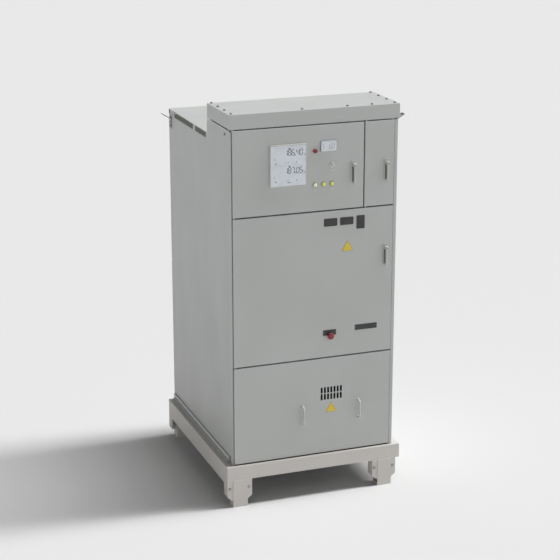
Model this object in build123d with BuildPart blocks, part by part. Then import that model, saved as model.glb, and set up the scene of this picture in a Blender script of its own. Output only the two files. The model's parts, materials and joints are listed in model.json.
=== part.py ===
"""Free-standing metal-enclosed switchgear cubicle on a raised base frame, in millimetres.

The origin is on the floor at the centre of the four anchor bolts.  +X is to the right of somebody
who faces the doors, +Y runs to the back and +Z is up, so the doors face -Y.
"""
from build123d import *
import math
import os

os.makedirs("parts", exist_ok=True)

# ---- driving dimensions: cabinet -------------------------------------------------------------
body_half = 500                 # half the cabinet's width
sheet = 2.5                     # folded sheet steel
post_sheet = 3
frame_half = 544                # half the base frame's width
frame_reach = 596               # base frame, centre to front or back face
frame_top = 250
floor_top = 254
cross_beam_bottom = 166
side_beam_bottom = 137
cross_beam_depth = 66
side_beam_width = 60
beam_wall = 5

door_front = -578
door_back = -558
post_front = -547
rear_face = 594                 # back of the rear posts
rear_cover_back = 614
door_left = -493                # hinge-side edge of the doors
door_edge = 480                 # right-hand edge of the doors
cover_bottom = 258
cover_top = 846
breaker_door_bottom = 854
breaker_door_top = 1728
upper_door_bottom = 1736
upper_door_top = 2228
wall_top = 2220                 # top of the posts and side panels
cap_bottom = 2236
cap_top = 2319
cap_half = 513
cap_front = -575
cap_back = -193
step_wall = -150                # back face of the wall behind the instrument compartment
rear_roof_top = 2143
rear_roof_sheet = 4
vent_sill = 2106
panel_front = -480              # seam between front post and side panel
vent_spans = ((-125, 81), (122, 500))

# ---- driving dimensions: doors and their fittings ----------------------------------------------
hinge_inset = 7                 # pivot, in from the door's left edge
hinge_depth = 8                 # pivot, back from the door's front
pin_radius = 4
running_gap = 0.05
upper_split = 292               # right edge of the instrument door
narrow_left = 300               # left edge of the narrow door
handle_plate = (30, 132, 4)
handle_drop = 23                # spindle below the top of its plate
spindle_radius = 6
pivot_radius = 3
lever_length = 112

# ---- driving dimensions: circuit-breaker truck -------------------------------------------------
phase_pitch = 210
phases = (-phase_pitch, 0, phase_pitch)
upper_contact = 1440
lower_contact = 1130
barrier_front = 60
shelf_top = 853
rail_top = 861
wheel_radius = 30
wheel_faces = (288, 312)        # inner and outer face of each wheel
wheel_hole_ring = 19
wheel_hole_radius = 5
wheel_holes = 5
wheel_gap = 0.3
axle_height = rail_top + wheel_radius + wheel_gap


def block(x0, x1, y0, y1, z0, z1, mode=Mode.ADD):
    """Box between two corners."""
    with Locations(((x0 + x1) / 2, (y0 + y1) / 2, (z0 + z1) / 2)):
        Box(x1 - x0, y1 - y0, z1 - z0, mode=mode)


def rod_x(x0, x1, y, z, radius, mode=Mode.ADD):
    with Locations(Location(((x0 + x1) / 2, y, z), (0, 90, 0))):
        Cylinder(radius, x1 - x0, mode=mode)


def rod_y(x, y0, y1, z, radius, mode=Mode.ADD):
    with Locations(Location((x, (y0 + y1) / 2, z), (90, 0, 0))):
        Cylinder(radius, y1 - y0, mode=mode)


def rod_z(x, y, z0, z1, radius, mode=Mode.ADD):
    with Locations((x, y, (z0 + z1) / 2)):
        Cylinder(radius, z1 - z0, mode=mode)


def save(builder, name):
    builder.part.label = name
    export_step(builder.part, f"parts/{name}.step")


# ================================================================================================
# Base frame
# ================================================================================================
anchor_x = 457
anchor_y = 563
anchor_radius = 9
foot_lefts = (-frame_half, 370) # left edge of the feet on each side; the four are alike
foot_width = 150
foot_column = (34, 122)         # column's sides, from the foot's left edge
wing_bottom = 41
wing_chamfer = (29, 23)
foot_wall = 6
column_proud = 4
foot_bolt_in = (14, 131)       # bolts, from the foot's left edge
foot_bolt_z = 116
bolt_shank = 5

with BuildPart() as base_cross_beams:
    for side in (-1, 1):
        front, back = sorted((side * frame_reach, side * (frame_reach - cross_beam_depth)))
        block(-frame_half, frame_half, front, back, cross_beam_bottom, frame_top)
        inner = (front, back - beam_wall) if side > 0 else (front + beam_wall, back)
        block(-frame_half + beam_wall, frame_half - beam_wall, *inner,
              cross_beam_bottom + beam_wall, frame_top - beam_wall, mode=Mode.SUBTRACT)
save(base_cross_beams, "base_cross_beams")

with BuildPart() as base_side_beams:
    beam_end = frame_reach - cross_beam_depth
    for side in (-1, 1):
        outer, inner = side * frame_half, side * (frame_half - side_beam_width)
        block(*sorted((outer, inner)), -beam_end, beam_end, side_beam_bottom, frame_top)
        block(*sorted((outer - side * beam_wall, inner)), -beam_end + beam_wall, beam_end - beam_wall,
              side_beam_bottom + beam_wall, frame_top - beam_wall, mode=Mode.SUBTRACT)
save(base_side_beams, "base_side_beams")


def foot(left, side_y):
    """One foot: a chamfered face plate, two end plates and a box column with a drilled sole."""
    face = side_y * frame_reach
    open_side = side_y * (frame_reach - cross_beam_depth)
    right = left + foot_width
    run, rise = wing_chamfer
    outline = [
        (left, cross_beam_bottom), (left, wing_bottom + rise), (left + run, wing_bottom),
        (right - run, wing_bottom), (right, wing_bottom + rise), (right, cross_beam_bottom),
    ]
    with BuildSketch(Plane.XZ.offset(-face)) as plate:
        with BuildLine():
            Polyline(*outline, close=True)
        make_face()
    extrude(plate.sketch, amount=side_y * foot_wall)
    for start in (left, right - foot_wall):
        block(start, start + foot_wall, *sorted((face, open_side)), wing_bottom + rise, cross_beam_bottom)
    # box column, a little proud of the face plate and open on the side that looks to the middle
    column_left, column_right = left + foot_column[0], left + foot_column[1]
    proud_face = side_y * (frame_reach + column_proud)
    block(column_left, column_right, *sorted((proud_face, open_side)), 0, cross_beam_bottom)
    hollow_left = column_left + (foot_wall if left < 0 else 0)
    hollow_right = column_right - (foot_wall if left > 0 else 0)
    block(hollow_left, hollow_right,
          *sorted((proud_face - side_y * foot_wall, open_side + side_y * foot_wall)),
          10, cross_beam_bottom - foot_wall, mode=Mode.SUBTRACT)
    rod_z(math.copysign(anchor_x, left), side_y * anchor_y, 0, 10, anchor_radius, Mode.SUBTRACT)
    for bolt_in in foot_bolt_in:
        rod_y(left + bolt_in, *sorted((face, face - side_y * foot_wall)), foot_bolt_z, bolt_shank,
              Mode.SUBTRACT)


with BuildPart() as base_feet:
    for foot_left in foot_lefts:
        for side_y in (-1, 1):
            foot(foot_left, side_y)
save(base_feet, "base_feet")

# ================================================================================================
# Lifting lugs: three bent plates, with their bolts
# ================================================================================================
lug_thick = 5
lug_slope = math.radians(30)
lug_reach = 68
lug_places = (                  # side, Y range, height of the bend
    (-1, (552, 592), 2084),
    (1, (552, 592), 2084),
    (1, (-540, -500), 2212),
)
lug_leg = 56
lug_eye_radius = 11
lug_eye_out = 46                # eye centre, along the arm from the bend
lug_bolt_drop = (18, 42)
spare_lug_bolt = (-471, 2192)   # Y and Z of the bolt that closes a spare hole in the left panel


def lug_outline(side, bend):
    """Cross-section in X and Z: a leg down the panel and an arm that rises outwards."""
    skin = side * body_half
    out_x, out_z = math.cos(lug_slope) * lug_reach, math.sin(lug_slope) * lug_reach
    off_x, off_z = -math.sin(lug_slope) * lug_thick, math.cos(lug_slope) * lug_thick
    return [
        (skin, bend - lug_leg), (skin, bend + lug_thick),
        (skin + side * (out_x + off_x), bend + out_z + off_z),
        (skin + side * out_x, bend + out_z),
        (skin + side * lug_thick, bend + math.tan(lug_slope) * lug_thick),
        (skin + side * lug_thick, bend - lug_leg),
    ]


with BuildPart() as lifting_lugs:
    for side, (lug_y0, lug_y1), bend in lug_places:
        middle = (lug_y0 + lug_y1) / 2
        with BuildSketch(Plane.XZ.offset(-lug_y0)) as section:
            with BuildLine():
                Polyline(*lug_outline(side, bend), close=True)
            make_face()
        extrude(section.sketch, amount=lug_y0 - lug_y1)
        eye_x = side * (body_half + math.cos(lug_slope) * lug_eye_out)
        eye_z = bend + math.sin(lug_slope) * lug_eye_out
        tilt = -side * math.degrees(lug_slope)
        with Locations(Location((eye_x, middle, eye_z), (0, tilt, 0))):
            Cylinder(lug_eye_radius, 4 * lug_thick, mode=Mode.SUBTRACT)
        for drop in lug_bolt_drop:
            rod_x(*sorted((side * body_half, side * (body_half + lug_thick))), middle, bend - drop,
                  bolt_shank, Mode.SUBTRACT)
save(lifting_lugs, "lifting_lugs")


def hex_bolt_y(x, face, z, side, length):
    """Hexagon bolt whose head lies on a face that looks along side * Y."""
    with BuildSketch(Plane.XZ.offset(-face)) as head:
        with Locations((x, z)):
            RegularPolygon(8, 6)
    extrude(head.sketch, amount=-side * 6)
    rod_y(x, *sorted((face, face - side * length)), z, bolt_shank)


def hex_bolt_x(face, y, z, side, length):
    with BuildSketch(Plane.YZ.offset(face)) as head:
        with Locations((y, z)):
            RegularPolygon(8, 6)
    extrude(head.sketch, amount=side * 6)
    rod_x(*sorted((face, face - side * length)), y, z, bolt_shank)


with BuildPart() as frame_bolts:
    for foot_left in foot_lefts:
        for side_y in (-1, 1):
            for bolt_in in foot_bolt_in:
                hex_bolt_y(foot_left + bolt_in, side_y * frame_reach, foot_bolt_z, side_y, 20)
    for side, (lug_y0, lug_y1), bend in lug_places:
        for drop in lug_bolt_drop:
            hex_bolt_x(side * (body_half + lug_thick), (lug_y0 + lug_y1) / 2, bend - drop, side, 18)
    hex_bolt_x(-body_half, *spare_lug_bolt, -1, 18)
save(frame_bolts, "frame_bolts")

# ================================================================================================
# Floor, posts, rails
# ================================================================================================
grommet_y = 380
grommet_radius = 45
cable_radius = 30

with BuildPart() as floor_plate:
    block(-body_half, body_half, post_front, rear_face, frame_top, floor_top)
    for phase in phases:
        rod_z(phase, grommet_y, frame_top, floor_top, grommet_radius, Mode.SUBTRACT)
save(floor_plate, "floor_plate")

with BuildPart() as cable_grommets:
    for phase in phases:
        rod_z(phase, grommet_y, frame_top, floor_top, grommet_radius)
        rod_z(phase, grommet_y, floor_top, floor_top + 8, grommet_radius + 10)
        rod_z(phase, grommet_y, frame_top, floor_top + 8, cable_radius, Mode.SUBTRACT)
save(cable_grommets, "cable_grommets")

post_leg = 38
slot_y = (-524, -512)           # slot beside the foot of each front post
slot_z = (256, 290)
nose_front = -577
left_nose_front = -572          # clears the doors when they swing past 90 degrees


def front_post(side):
    """Angle post: one leg behind the doors, one leg along the side."""
    skin = side * body_half
    block(*sorted((skin, skin - side * post_sheet)), post_front, panel_front, floor_top, wall_top)
    block(*sorted((skin, skin - side * post_leg)), post_front, post_front + post_sheet,
          floor_top, wall_top)
    block(*sorted((skin, skin - side * post_sheet)), *slot_y, *slot_z, mode=Mode.SUBTRACT)


def lug_bolt_holes(side, front_lug):
    """Clearance in a side wall for the lug bolts of one lug."""
    for lug_side, (lug_y0, lug_y1), bend in lug_places:
        if lug_side == side and (lug_y0 < 0) == front_lug:
            for drop in lug_bolt_drop:
                rod_x(*sorted((side * (body_half - 10), side * body_half)), (lug_y0 + lug_y1) / 2,
                      bend - drop, bolt_shank, Mode.SUBTRACT)


with BuildPart() as front_posts:
    front_post(-1)
    front_post(1)
    # forward edges that close the front beside the doors: single sheet on the left, box on the right
    block(-body_half, -body_half + post_sheet, left_nose_front, post_front, floor_top, wall_top)
    block(door_edge + 2, body_half, nose_front, post_front, floor_top, upper_door_top)
    block(door_edge + 2 + sheet, body_half - sheet, nose_front + sheet, post_front,
          floor_top, upper_door_top, mode=Mode.SUBTRACT)
    lug_bolt_holes(1, True)
save(front_posts, "front_posts")

rear_leg = 40
with BuildPart() as rear_posts:
    for side in (-1, 1):
        wall = side * (body_half - sheet)
        block(*sorted((wall, wall - side * post_sheet)), rear_face - rear_leg, rear_face,
              floor_top, vent_sill - 8)
        block(*sorted((wall, wall - side * rear_leg)), rear_face - post_sheet, rear_face,
              floor_top, vent_sill - 8)
        lug_bolt_holes(side, False)
save(rear_posts, "rear_posts")

rail_spans = ((floor_top, 285), (834, shelf_top - 3), (1712, 1730), (2190, wall_top))
rail_back = -520
with BuildPart() as cross_rails:
    rail_half = body_half - post_leg
    for low, high in rail_spans:
        block(-rail_half, rail_half, post_front, rail_back, low, high)
        block(-rail_half, rail_half, post_front + post_sheet, rail_back, low + post_sheet,
              high - post_sheet, mode=Mode.SUBTRACT)
save(cross_rails, "cross_rails")

# ================================================================================================
# Outer panels
# ================================================================================================
def side_panel(side):
    """Stepped side wall: full height beside the instruments, lower and vented at the back."""
    roof_under = rear_roof_top - rear_roof_sheet
    points = [(panel_front, floor_top), (panel_front, wall_top), (step_wall, wall_top),
              (step_wall, roof_under)]
    for start, end in vent_spans:
        points += [(start, roof_under), (start, vent_sill), (end, vent_sill), (end, roof_under)]
    points += [(rear_face, roof_under), (rear_face, floor_top)]
    with BuildSketch(Plane.YZ.offset(side * body_half)) as wall:
        with BuildLine():
            Polyline(*points, close=True)
        make_face()
    extrude(wall.sketch, amount=-side * sheet)
    lug_bolt_holes(side, False)
    if side < 0:
        rod_x(-body_half, -body_half + sheet, *spare_lug_bolt, bolt_shank, Mode.SUBTRACT)


with BuildPart() as left_side_panel:
    side_panel(-1)
save(left_side_panel, "left_side_panel")

with BuildPart() as right_side_panel:
    side_panel(1)
save(right_side_panel, "right_side_panel")

sill_front = -512
sill_back = rear_face - 2
sill_flashing = (
    (500, 250), (515, 250), (515, 257), (505, 262), (505, 267), (511, 270), (508, 288), (500, 288),
)
with BuildPart() as sill_rails:
    for side in (-1, 1):
        with BuildSketch(Plane.XZ.offset(-sill_front)) as section:
            with BuildLine():
                Polyline(*[(side * x, z) for x, z in sill_flashing], close=True)
            make_face()
        extrude(section.sketch, amount=sill_front - sill_back)
save(sill_rails, "sill_rails")

rear_split = 1180
rear_cover_front = rear_face + 2
screw_shank = 4
rear_screw_x = (-482, -161, 161, 482)
rear_spans = ((258, rear_split - 4), (rear_split + 4, 2104))
louvre_count = 8
louvre_pitch = 32


def screw_heights(low, high):
    return [low + 30 + (high - low - 60) * step / 3 for step in range(4)]


def rear_cover_holes(low, high):
    """Screw positions of a rear cover: down both edges, and along the top and bottom."""
    holes = [(x, z) for z in (low + 30, high - 30) for x in rear_screw_x]
    holes += [(x, z) for z in screw_heights(low, high)[1:3] for x in (rear_screw_x[0], rear_screw_x[-1])]
    return holes


def rear_cover(low, high, louvre_top):
    """Shallow folded pan with a block of ventilation louvres."""
    block(-body_half, body_half, rear_cover_front, rear_cover_back, low, high)
    fillet(faces().sort_by(Axis.Y)[-1].edges(), 2)
    block(-body_half + sheet, body_half - sheet, rear_cover_front, rear_cover_back - sheet,
          low + sheet, high - sheet, mode=Mode.SUBTRACT)
    for row in range(louvre_count):
        for x in (-170, 170):
            z = louvre_top - row * louvre_pitch
            block(x - 90, x + 90, rear_cover_back - sheet, rear_cover_back, z - 5, z, mode=Mode.SUBTRACT)
    for x, z in rear_cover_holes(low, high):
        rod_y(x, rear_cover_back - sheet, rear_cover_back, z, screw_shank, Mode.SUBTRACT)


with BuildPart() as rear_lower_cover:
    rear_cover(*rear_spans[0], 620)
save(rear_lower_cover, "rear_lower_cover")

with BuildPart() as rear_upper_cover:
    rear_cover(*rear_spans[1], 1960)
save(rear_upper_cover, "rear_upper_cover")

# ---- roof: support ring, front cap, low rear roof ------------------------------------------------
cap_inset = 24                  # bolt line, in from the cap's edge
cap_bolt_x = cap_half - cap_inset
cap_bolt_front = cap_front + cap_inset
cap_bolt_back = cap_back - 13
cap_side_steps = [cap_bolt_front + (cap_bolt_back - cap_bolt_front) * step / 3 for step in range(4)]
cap_front_steps = (-72, 200, 349)
cap_bolts = [(side * cap_bolt_x, y) for side in (-1, 1) for y in cap_side_steps]
cap_bolts += [(x, cap_bolt_front) for x in cap_front_steps]

rim_half = 474
rim_bottom = wall_top + 3
ring_bottom = cap_bottom + 5    # also the lower edge of the cap's side flanges
with BuildPart() as cap_frame:
    # top sheet of the front section with a raised rim
    block(-body_half, body_half, post_front, step_wall, wall_top, rim_bottom)
    block(-rim_half, rim_half, post_front, cap_back - sheet, rim_bottom, ring_bottom)
    block(-rim_half + 30, rim_half - 30, post_front + 30, cap_back - 32, rim_bottom, ring_bottom,
          mode=Mode.SUBTRACT)
    # box ring that fills the cap's edge and takes its screws
    block(-body_half - 6, body_half + 6, cap_front + 6, cap_back - 6, ring_bottom, cap_top - sheet)
    block(-440, 440, cap_front + 60, cap_back - 60, ring_bottom, cap_top - sheet, mode=Mode.SUBTRACT)
    block(-body_half + 2, body_half - 2, cap_front + 14, cap_back - 14, ring_bottom + 6,
          cap_top - sheet - 6, mode=Mode.SUBTRACT)
    for x, y in cap_bolts:
        rod_z(x, y, cap_top - 12, cap_top - sheet, screw_shank, Mode.SUBTRACT)
save(cap_frame, "cap_frame")

with BuildPart() as roof_cap:
    block(-cap_half, cap_half, cap_front, cap_back, cap_bottom, cap_top)
    fillet(edges().filter_by(Axis.Z) + faces().sort_by(Axis.Z)[-1].edges(), 2)
    block(-cap_half + sheet, cap_half - sheet, cap_front + sheet, cap_back - sheet,
          cap_bottom, cap_top - sheet, mode=Mode.SUBTRACT)
    for side in (-1, 1):
        block(*sorted((side * (cap_half - sheet), side * cap_half)), cap_front + sheet, cap_back - sheet,
              cap_bottom, ring_bottom, mode=Mode.SUBTRACT)
    for x, y in cap_bolts:
        rod_z(x, y, cap_top - sheet, cap_top, screw_shank, Mode.SUBTRACT)
save(roof_cap, "roof_cap")

with BuildPart() as rear_roof_plate:
    roof_under = rear_roof_top - rear_roof_sheet
    block(-body_half, body_half, step_wall, rear_cover_back, roof_under, rear_roof_top)
    block(-body_half, body_half, rear_cover_back - 3, rear_cover_back, 2110, roof_under)
save(rear_roof_plate, "rear_roof_plate")

with BuildPart() as roof_vent_screens:
    for side in (-1, 1):
        wall = side * (body_half - sheet)
        for start, end in vent_spans:
            block(*sorted((wall, wall - side * 2)), start - 12, end + 12, vent_sill - 6,
                  rear_roof_top - rear_roof_sheet)
            count = int((end - start) // 24)
            for step in range(count):
                centre = start + (end - start) * (step + 0.5) / count
                block(*sorted((wall, wall - side * 2)), centre - 8, centre + 8, vent_sill + 3,
                      rear_roof_top - rear_roof_sheet - 4, mode=Mode.SUBTRACT)
save(roof_vent_screens, "roof_vent_screens")


with BuildPart() as cover_screws:
    seats = [Location((x, y, cap_top)) for x, y in cap_bolts]
    for low, high in rear_spans:
        seats += [Location((x, rear_cover_back, z), (-90, 0, 0)) for x, z in rear_cover_holes(low, high)]
    with Locations(*seats):
        Cylinder(8, 7, align=(Align.CENTER, Align.CENTER, Align.MIN))
        Cylinder(screw_shank, 9, align=(Align.CENTER, Align.CENTER, Align.MAX))
save(cover_screws, "cover_screws")

# ================================================================================================
# Compartments
# ================================================================================================
wall_inside = body_half - sheet
between_posts = body_half - post_sheet
liner_back = step_wall - 3
with BuildPart() as instrument_liner:
    # shelf and back wall folded from one sheet
    block(-between_posts, between_posts, rail_back, step_wall, 1730, 1732.5)
    block(-wall_inside, wall_inside, liner_back, step_wall, 1732.5, wall_top)
save(instrument_liner, "instrument_liner")

mullion_span = (280, 312)
with BuildPart() as door_mullion:
    block(*mullion_span, post_front, post_front + post_sheet, 1732.5, 2190)
    block(mullion_span[0], mullion_span[0] + sheet, post_front, liner_back, 1732.5, 2190)
save(door_mullion, "door_mullion")

rail_track = (280, 320)
with BuildPart() as breaker_shelf:
    block(-between_posts, between_posts, rail_back, barrier_front, shelf_top - 3, shelf_top)
    for side in (-1, 1):
        block(*sorted((side * rail_track[0], side * rail_track[1])), -515, barrier_front - 10,
              shelf_top, rail_top)
save(breaker_shelf, "breaker_shelf")

barrier_sheet = 3
stud_radius = 20
barrier_hole = 45
with BuildPart() as breaker_barrier:
    block(-wall_inside, wall_inside, barrier_front, barrier_front + barrier_sheet, floor_top, 1730)
    block(-wall_inside, wall_inside, barrier_front + barrier_sheet, 540, 1200, 1203)
    for phase in phases:
        for height in (upper_contact, lower_contact):
            rod_y(phase, barrier_front, barrier_front + barrier_sheet, height, barrier_hole,
                  Mode.SUBTRACT)
save(breaker_barrier, "breaker_barrier")

spout_mouth = -40
spout_radius = 85
with BuildPart() as contact_spouts:
    for phase in phases:
        for height in (upper_contact, lower_contact):
            rod_y(phase, spout_mouth, barrier_front, height, spout_radius)
            rod_y(phase, barrier_front - 8, barrier_front, height, spout_radius + 10)
            rod_y(phase, spout_mouth, barrier_front - 8, height, spout_radius - 10, Mode.SUBTRACT)
            rod_y(phase, barrier_front - 8, barrier_front, height, stud_radius, Mode.SUBTRACT)
save(contact_spouts, "contact_spouts")

bar_front = 104
bar_thick = 8
bar_half = 25
stud_tip = -5
main_bar_y = (200, 208)
main_bar_heights = (1560, 1630, 1700)
transformer_top = 780
transformer_bottom = 600
transformer_half = 60
link_z = (690, 698)
link_end = 360
with BuildPart() as busbars:
    for phase, main_height in zip(phases, main_bar_heights):
        # fixed contact, riser, jumper and the main bar that runs across the cubicle
        rod_y(phase, stud_tip, bar_front, upper_contact, stud_radius)
        block(phase - bar_half, phase + bar_half, bar_front, bar_front + bar_thick,
              upper_contact - 30, main_height + 30)
        block(phase - bar_half, phase + bar_half, bar_front + bar_thick, main_bar_y[0],
              main_height - 20, main_height + 20)
        block(-470, 470, *main_bar_y, main_height - 30, main_height + 30)
        # lower fixed contact and the bar down to the current transformer
        rod_y(phase, stud_tip, bar_front, lower_contact, stud_radius)
        block(phase - bar_half, phase + bar_half, bar_front, bar_front + bar_thick,
              transformer_top, lower_contact + 30)
save(busbars, "busbars")

transformer_y = (barrier_front + barrier_sheet, 250)
with BuildPart() as current_transformers:
    for phase in phases:
        block(phase - transformer_half, phase + transformer_half, *transformer_y,
              transformer_bottom, transformer_top)
    fillet(edges().filter_by(Axis.Z).group_by(Axis.Y)[-1], 15)
    for phase in phases:
        # cable link that leaves the back of the transformer
        block(phase - bar_half, phase + bar_half, transformer_y[1], link_end, *link_z)
save(current_transformers, "current_transformers")

# ================================================================================================
# Doors
# ================================================================================================
bush_half = 6.5
bush_length = 20
tab_thick = 4


def door_pan(left, right, low, high, hinged=True):
    """Folded sheet door, open at the back, with a pivot bush in its two left-hand corners."""
    block(left, right, door_front, door_back, low, high)
    fillet(faces().sort_by(Axis.Y)[0].edges(), 2)
    block(left + sheet, right - sheet, door_front + sheet, door_back, low + sheet, high - sheet,
          mode=Mode.SUBTRACT)
    if hinged:
        pivot_x, pivot_y = left + hinge_inset, door_front + hinge_depth
        for start, end in ((low, low + bush_length), (high - bush_length, high)):
            block(pivot_x - bush_half, pivot_x + bush_half, pivot_y - bush_half, door_back - 1, start, end)
            rod_z(pivot_x, pivot_y, start, end, pin_radius + running_gap, Mode.SUBTRACT)


def spindle_hole(x, z):
    rod_y(x, door_front, door_front + sheet, z, spindle_radius + running_gap, Mode.SUBTRACT)


def cut_through(x0, x1, z0, z1):
    block(x0, x1, door_front, door_front + sheet, z0, z1, mode=Mode.SUBTRACT)


instrument_handle = (229, 1988)
narrow_handle = (432, 1986)
breaker_handle = (434, 1484)

meter_x = (-277, -57)
meter_z = (1893, 2133)
display_x = (27, 127)
display_z = (2074, 2138)
lamp_x = (-3, 48, 99)
lamp_z = 1888
lamp_radius = 11
red_button_at = (-5, 2083)
key_switch_at = (98, 1998)
switch_radius = 11

with BuildPart() as instrument_door:
    door_pan(door_left, upper_split, upper_door_bottom, upper_door_top)
    cut_through(meter_x[0] + 8, meter_x[1] - 8, meter_z[0] + 8, meter_z[1] - 8)
    cut_through(display_x[0] + 4, display_x[1] - 4, display_z[0] + 4, display_z[1] - 4)
    for x in lamp_x:
        rod_y(x, door_front, door_front + sheet, lamp_z, lamp_radius, Mode.SUBTRACT)
    for x, z in (red_button_at, key_switch_at):
        rod_y(x, door_front, door_front + sheet, z, switch_radius, Mode.SUBTRACT)
    spindle_hole(*instrument_handle)
save(instrument_door, "instrument_door")

with BuildPart() as narrow_door:
    door_pan(narrow_left, door_edge, upper_door_bottom, upper_door_top)
    spindle_hole(*narrow_handle)
save(narrow_door, "narrow_door")

windows = ((52, 134, 1639, 1685), (151, 233, 1639, 1685), (252, 303, 1609, 1688))
window_rim = 7
trip_button_at = (95, 983)
trip_radius = 11
with BuildPart() as breaker_door:
    door_pan(door_left, door_edge, breaker_door_bottom, breaker_door_top)
    for x0, x1, z0, z1 in windows:
        cut_through(x0 + window_rim, x1 - window_rim, z0 + window_rim, z1 - window_rim)
    x, z = trip_button_at
    rod_y(x, door_front, door_front + sheet, z, trip_radius, Mode.SUBTRACT)
    spindle_hole(*breaker_handle)
save(breaker_door, "breaker_door")

with BuildPart() as breaker_windows:
    for x0, x1, z0, z1 in windows:
        block(x0, x1, door_front - 2, door_front, z0, z1)
        fillet(edges().filter_by(Axis.Y).filter_by_position(Axis.X, x0 - 1, x1 + 1), 6)
        block(x0 + window_rim, x1 - window_rim, door_front, door_front + sheet,
              z0 + window_rim, z1 - window_rim)
save(breaker_windows, "breaker_windows")

slot_half = (6.25, 18)
slot_pitch = (20.2, 42)
slot_corner = (47, 648)         # centre of the upper left slot
slot_columns, slot_rows = 7, 2
bow_centres = ((-74, 510), (278, 510))
bow_height = 118
bow_reach = 34
bow_radius = 6
bow_bend = 12
bow_screw = 4
bow_foot = bow_height / 2 - bow_radius
with BuildPart() as cable_cover:
    door_pan(door_left, door_edge, cover_bottom, cover_top, hinged=False)
    for column in range(slot_columns):
        for row in range(slot_rows):
            x = slot_corner[0] + column * slot_pitch[0]
            z = slot_corner[1] - row * slot_pitch[1]
            cut_through(x - slot_half[0], x + slot_half[0], z - slot_half[1], z + slot_half[1])
    for x, z in bow_centres:
        for end in (-1, 1):
            rod_y(x, door_front, door_front + sheet, z + end * bow_foot, bow_screw, Mode.SUBTRACT)
save(cable_cover, "cable_cover")

with BuildPart() as cover_handles:
    for x, z in bow_centres:
        out = door_front - bow_reach + bow_radius
        with BuildLine() as grip:
            FilletPolyline((x, door_front, z - bow_foot), (x, out, z - bow_foot), (x, out, z + bow_foot),
                           (x, door_front, z + bow_foot), radius=bow_bend)
        with BuildSketch(Plane(origin=(x, door_front, z - bow_foot), z_dir=(0, -1, 0))) as bar:
            Circle(bow_radius)
        sweep(bar.sketch, path=grip.line)
        for end in (-1, 1):
            rod_y(x, door_front, door_front + 12, z + end * bow_foot, bow_screw)
save(cover_handles, "cover_handles")

# ---- meter, display, lamps, buttons ---------------------------------------------------------------
meter_proud = 11
meter_depth = 70
screen_inset = 6
display_proud = 8
display_depth = 55
bezel_radius = 14.5             # front ring of a 22 mm panel device
lens_radius = 11.5
with BuildPart() as meter_case:
    block(*meter_x, door_front - meter_proud, door_front, *meter_z)
    fillet(edges().filter_by(Axis.Y), 3)
    block(meter_x[0] + 8, meter_x[1] - 8, door_front, door_front + meter_depth,
          meter_z[0] + 8, meter_z[1] - 8)
    block(meter_x[0] + screen_inset, meter_x[1] - screen_inset, door_front - meter_proud,
          door_front - meter_proud + 2, meter_z[0] + screen_inset, meter_z[1] - screen_inset,
          mode=Mode.SUBTRACT)
save(meter_case, "meter_case")

with BuildPart() as meter_screen:
    block(meter_x[0] + screen_inset, meter_x[1] - screen_inset, door_front - meter_proud + 0.5,
          door_front - meter_proud + 2, meter_z[0] + screen_inset, meter_z[1] - screen_inset)
save(meter_screen, "meter_screen")

with BuildPart() as panel_display:
    block(*display_x, door_front - display_proud, door_front, *display_z)
    fillet(edges().filter_by(Axis.Y), 2)
    block(display_x[0] + 4, display_x[1] - 4, door_front, door_front + display_depth,
          display_z[0] + 4, display_z[1] - 4)
save(panel_display, "panel_display")

with BuildPart() as indicator_lamps:
    for x in lamp_x:
        rod_y(x, door_front - 4, door_front, lamp_z, bezel_radius)
        rod_y(x, door_front - 11, door_front - 4, lamp_z, lens_radius)
        rod_y(x, door_front, door_front + 42, lamp_z, lamp_radius)
save(indicator_lamps, "indicator_lamps")

plunger_radius = 6
barrel_radius = 8
with BuildPart() as switch_collars:
    for (x, z), bore in ((red_button_at, plunger_radius), (key_switch_at, barrel_radius)):
        rod_y(x, door_front - 5, door_front, z, bezel_radius)
        rod_y(x, door_front, door_front + 40, z, switch_radius)
        rod_y(x, door_front - 5, door_front + 30, z, bore + running_gap, Mode.SUBTRACT)
save(switch_collars, "switch_collars")

with BuildPart() as red_button:
    x, z = red_button_at
    rod_y(x, door_front - 13, door_front - 9, z, 11)
    rod_y(x, door_front - 9, door_front + 20, z, plunger_radius)
    fillet(faces().sort_by(Axis.Y)[0].edges(), 1.5)
save(red_button, "red_button")

with BuildPart() as key_switch:
    x, z = key_switch_at
    rod_y(x, door_front - 9, door_front + 24, z, barrel_radius)
    block(x - 1.2, x + 1.2, door_front - 9, door_front - 5, z - 5, z + 5, mode=Mode.SUBTRACT)
save(key_switch, "key_switch")

collar_bore = 7
with BuildPart() as trip_collar:
    x, z = trip_button_at
    rod_y(x, door_front - 6, door_front, z, 15)
    rod_y(x, door_front, door_front + 22, z, trip_radius)
    rod_y(x, door_front - 6, door_front + 22, z, collar_bore + running_gap, Mode.SUBTRACT)
save(trip_collar, "trip_collar")

with BuildPart() as trip_button:
    x, z = trip_button_at
    rod_y(x, door_front - 25, door_front - 14, z, 20)
    fillet(faces().sort_by(Axis.Y)[0].edges(), 6)
    rod_y(x, door_front - 14, door_front + 26, z, collar_bore)
save(trip_button, "trip_button")

# ---- door handles: plate, spindle with its cam, and the lever that lifts off the plate ------------
plate_front = door_front - handle_plate[2]
pivot_out = 9                   # lever pivot, out from the plate
hub_half = 6
nose_radius = 9
lever_gap = 0.5
lever_thick = 8
lever_half = 7
head_radius = 11                # round head that carries the lock
ear_half = 9
lip_half = 7                    # return lip at the lever's lower end
lip_height = 6
lip_gap = 0.6
pivot_y = plate_front - pivot_out
lever_back = pivot_y - nose_radius - lever_gap
cam_y = (post_front + 2, post_front + 6)


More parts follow.
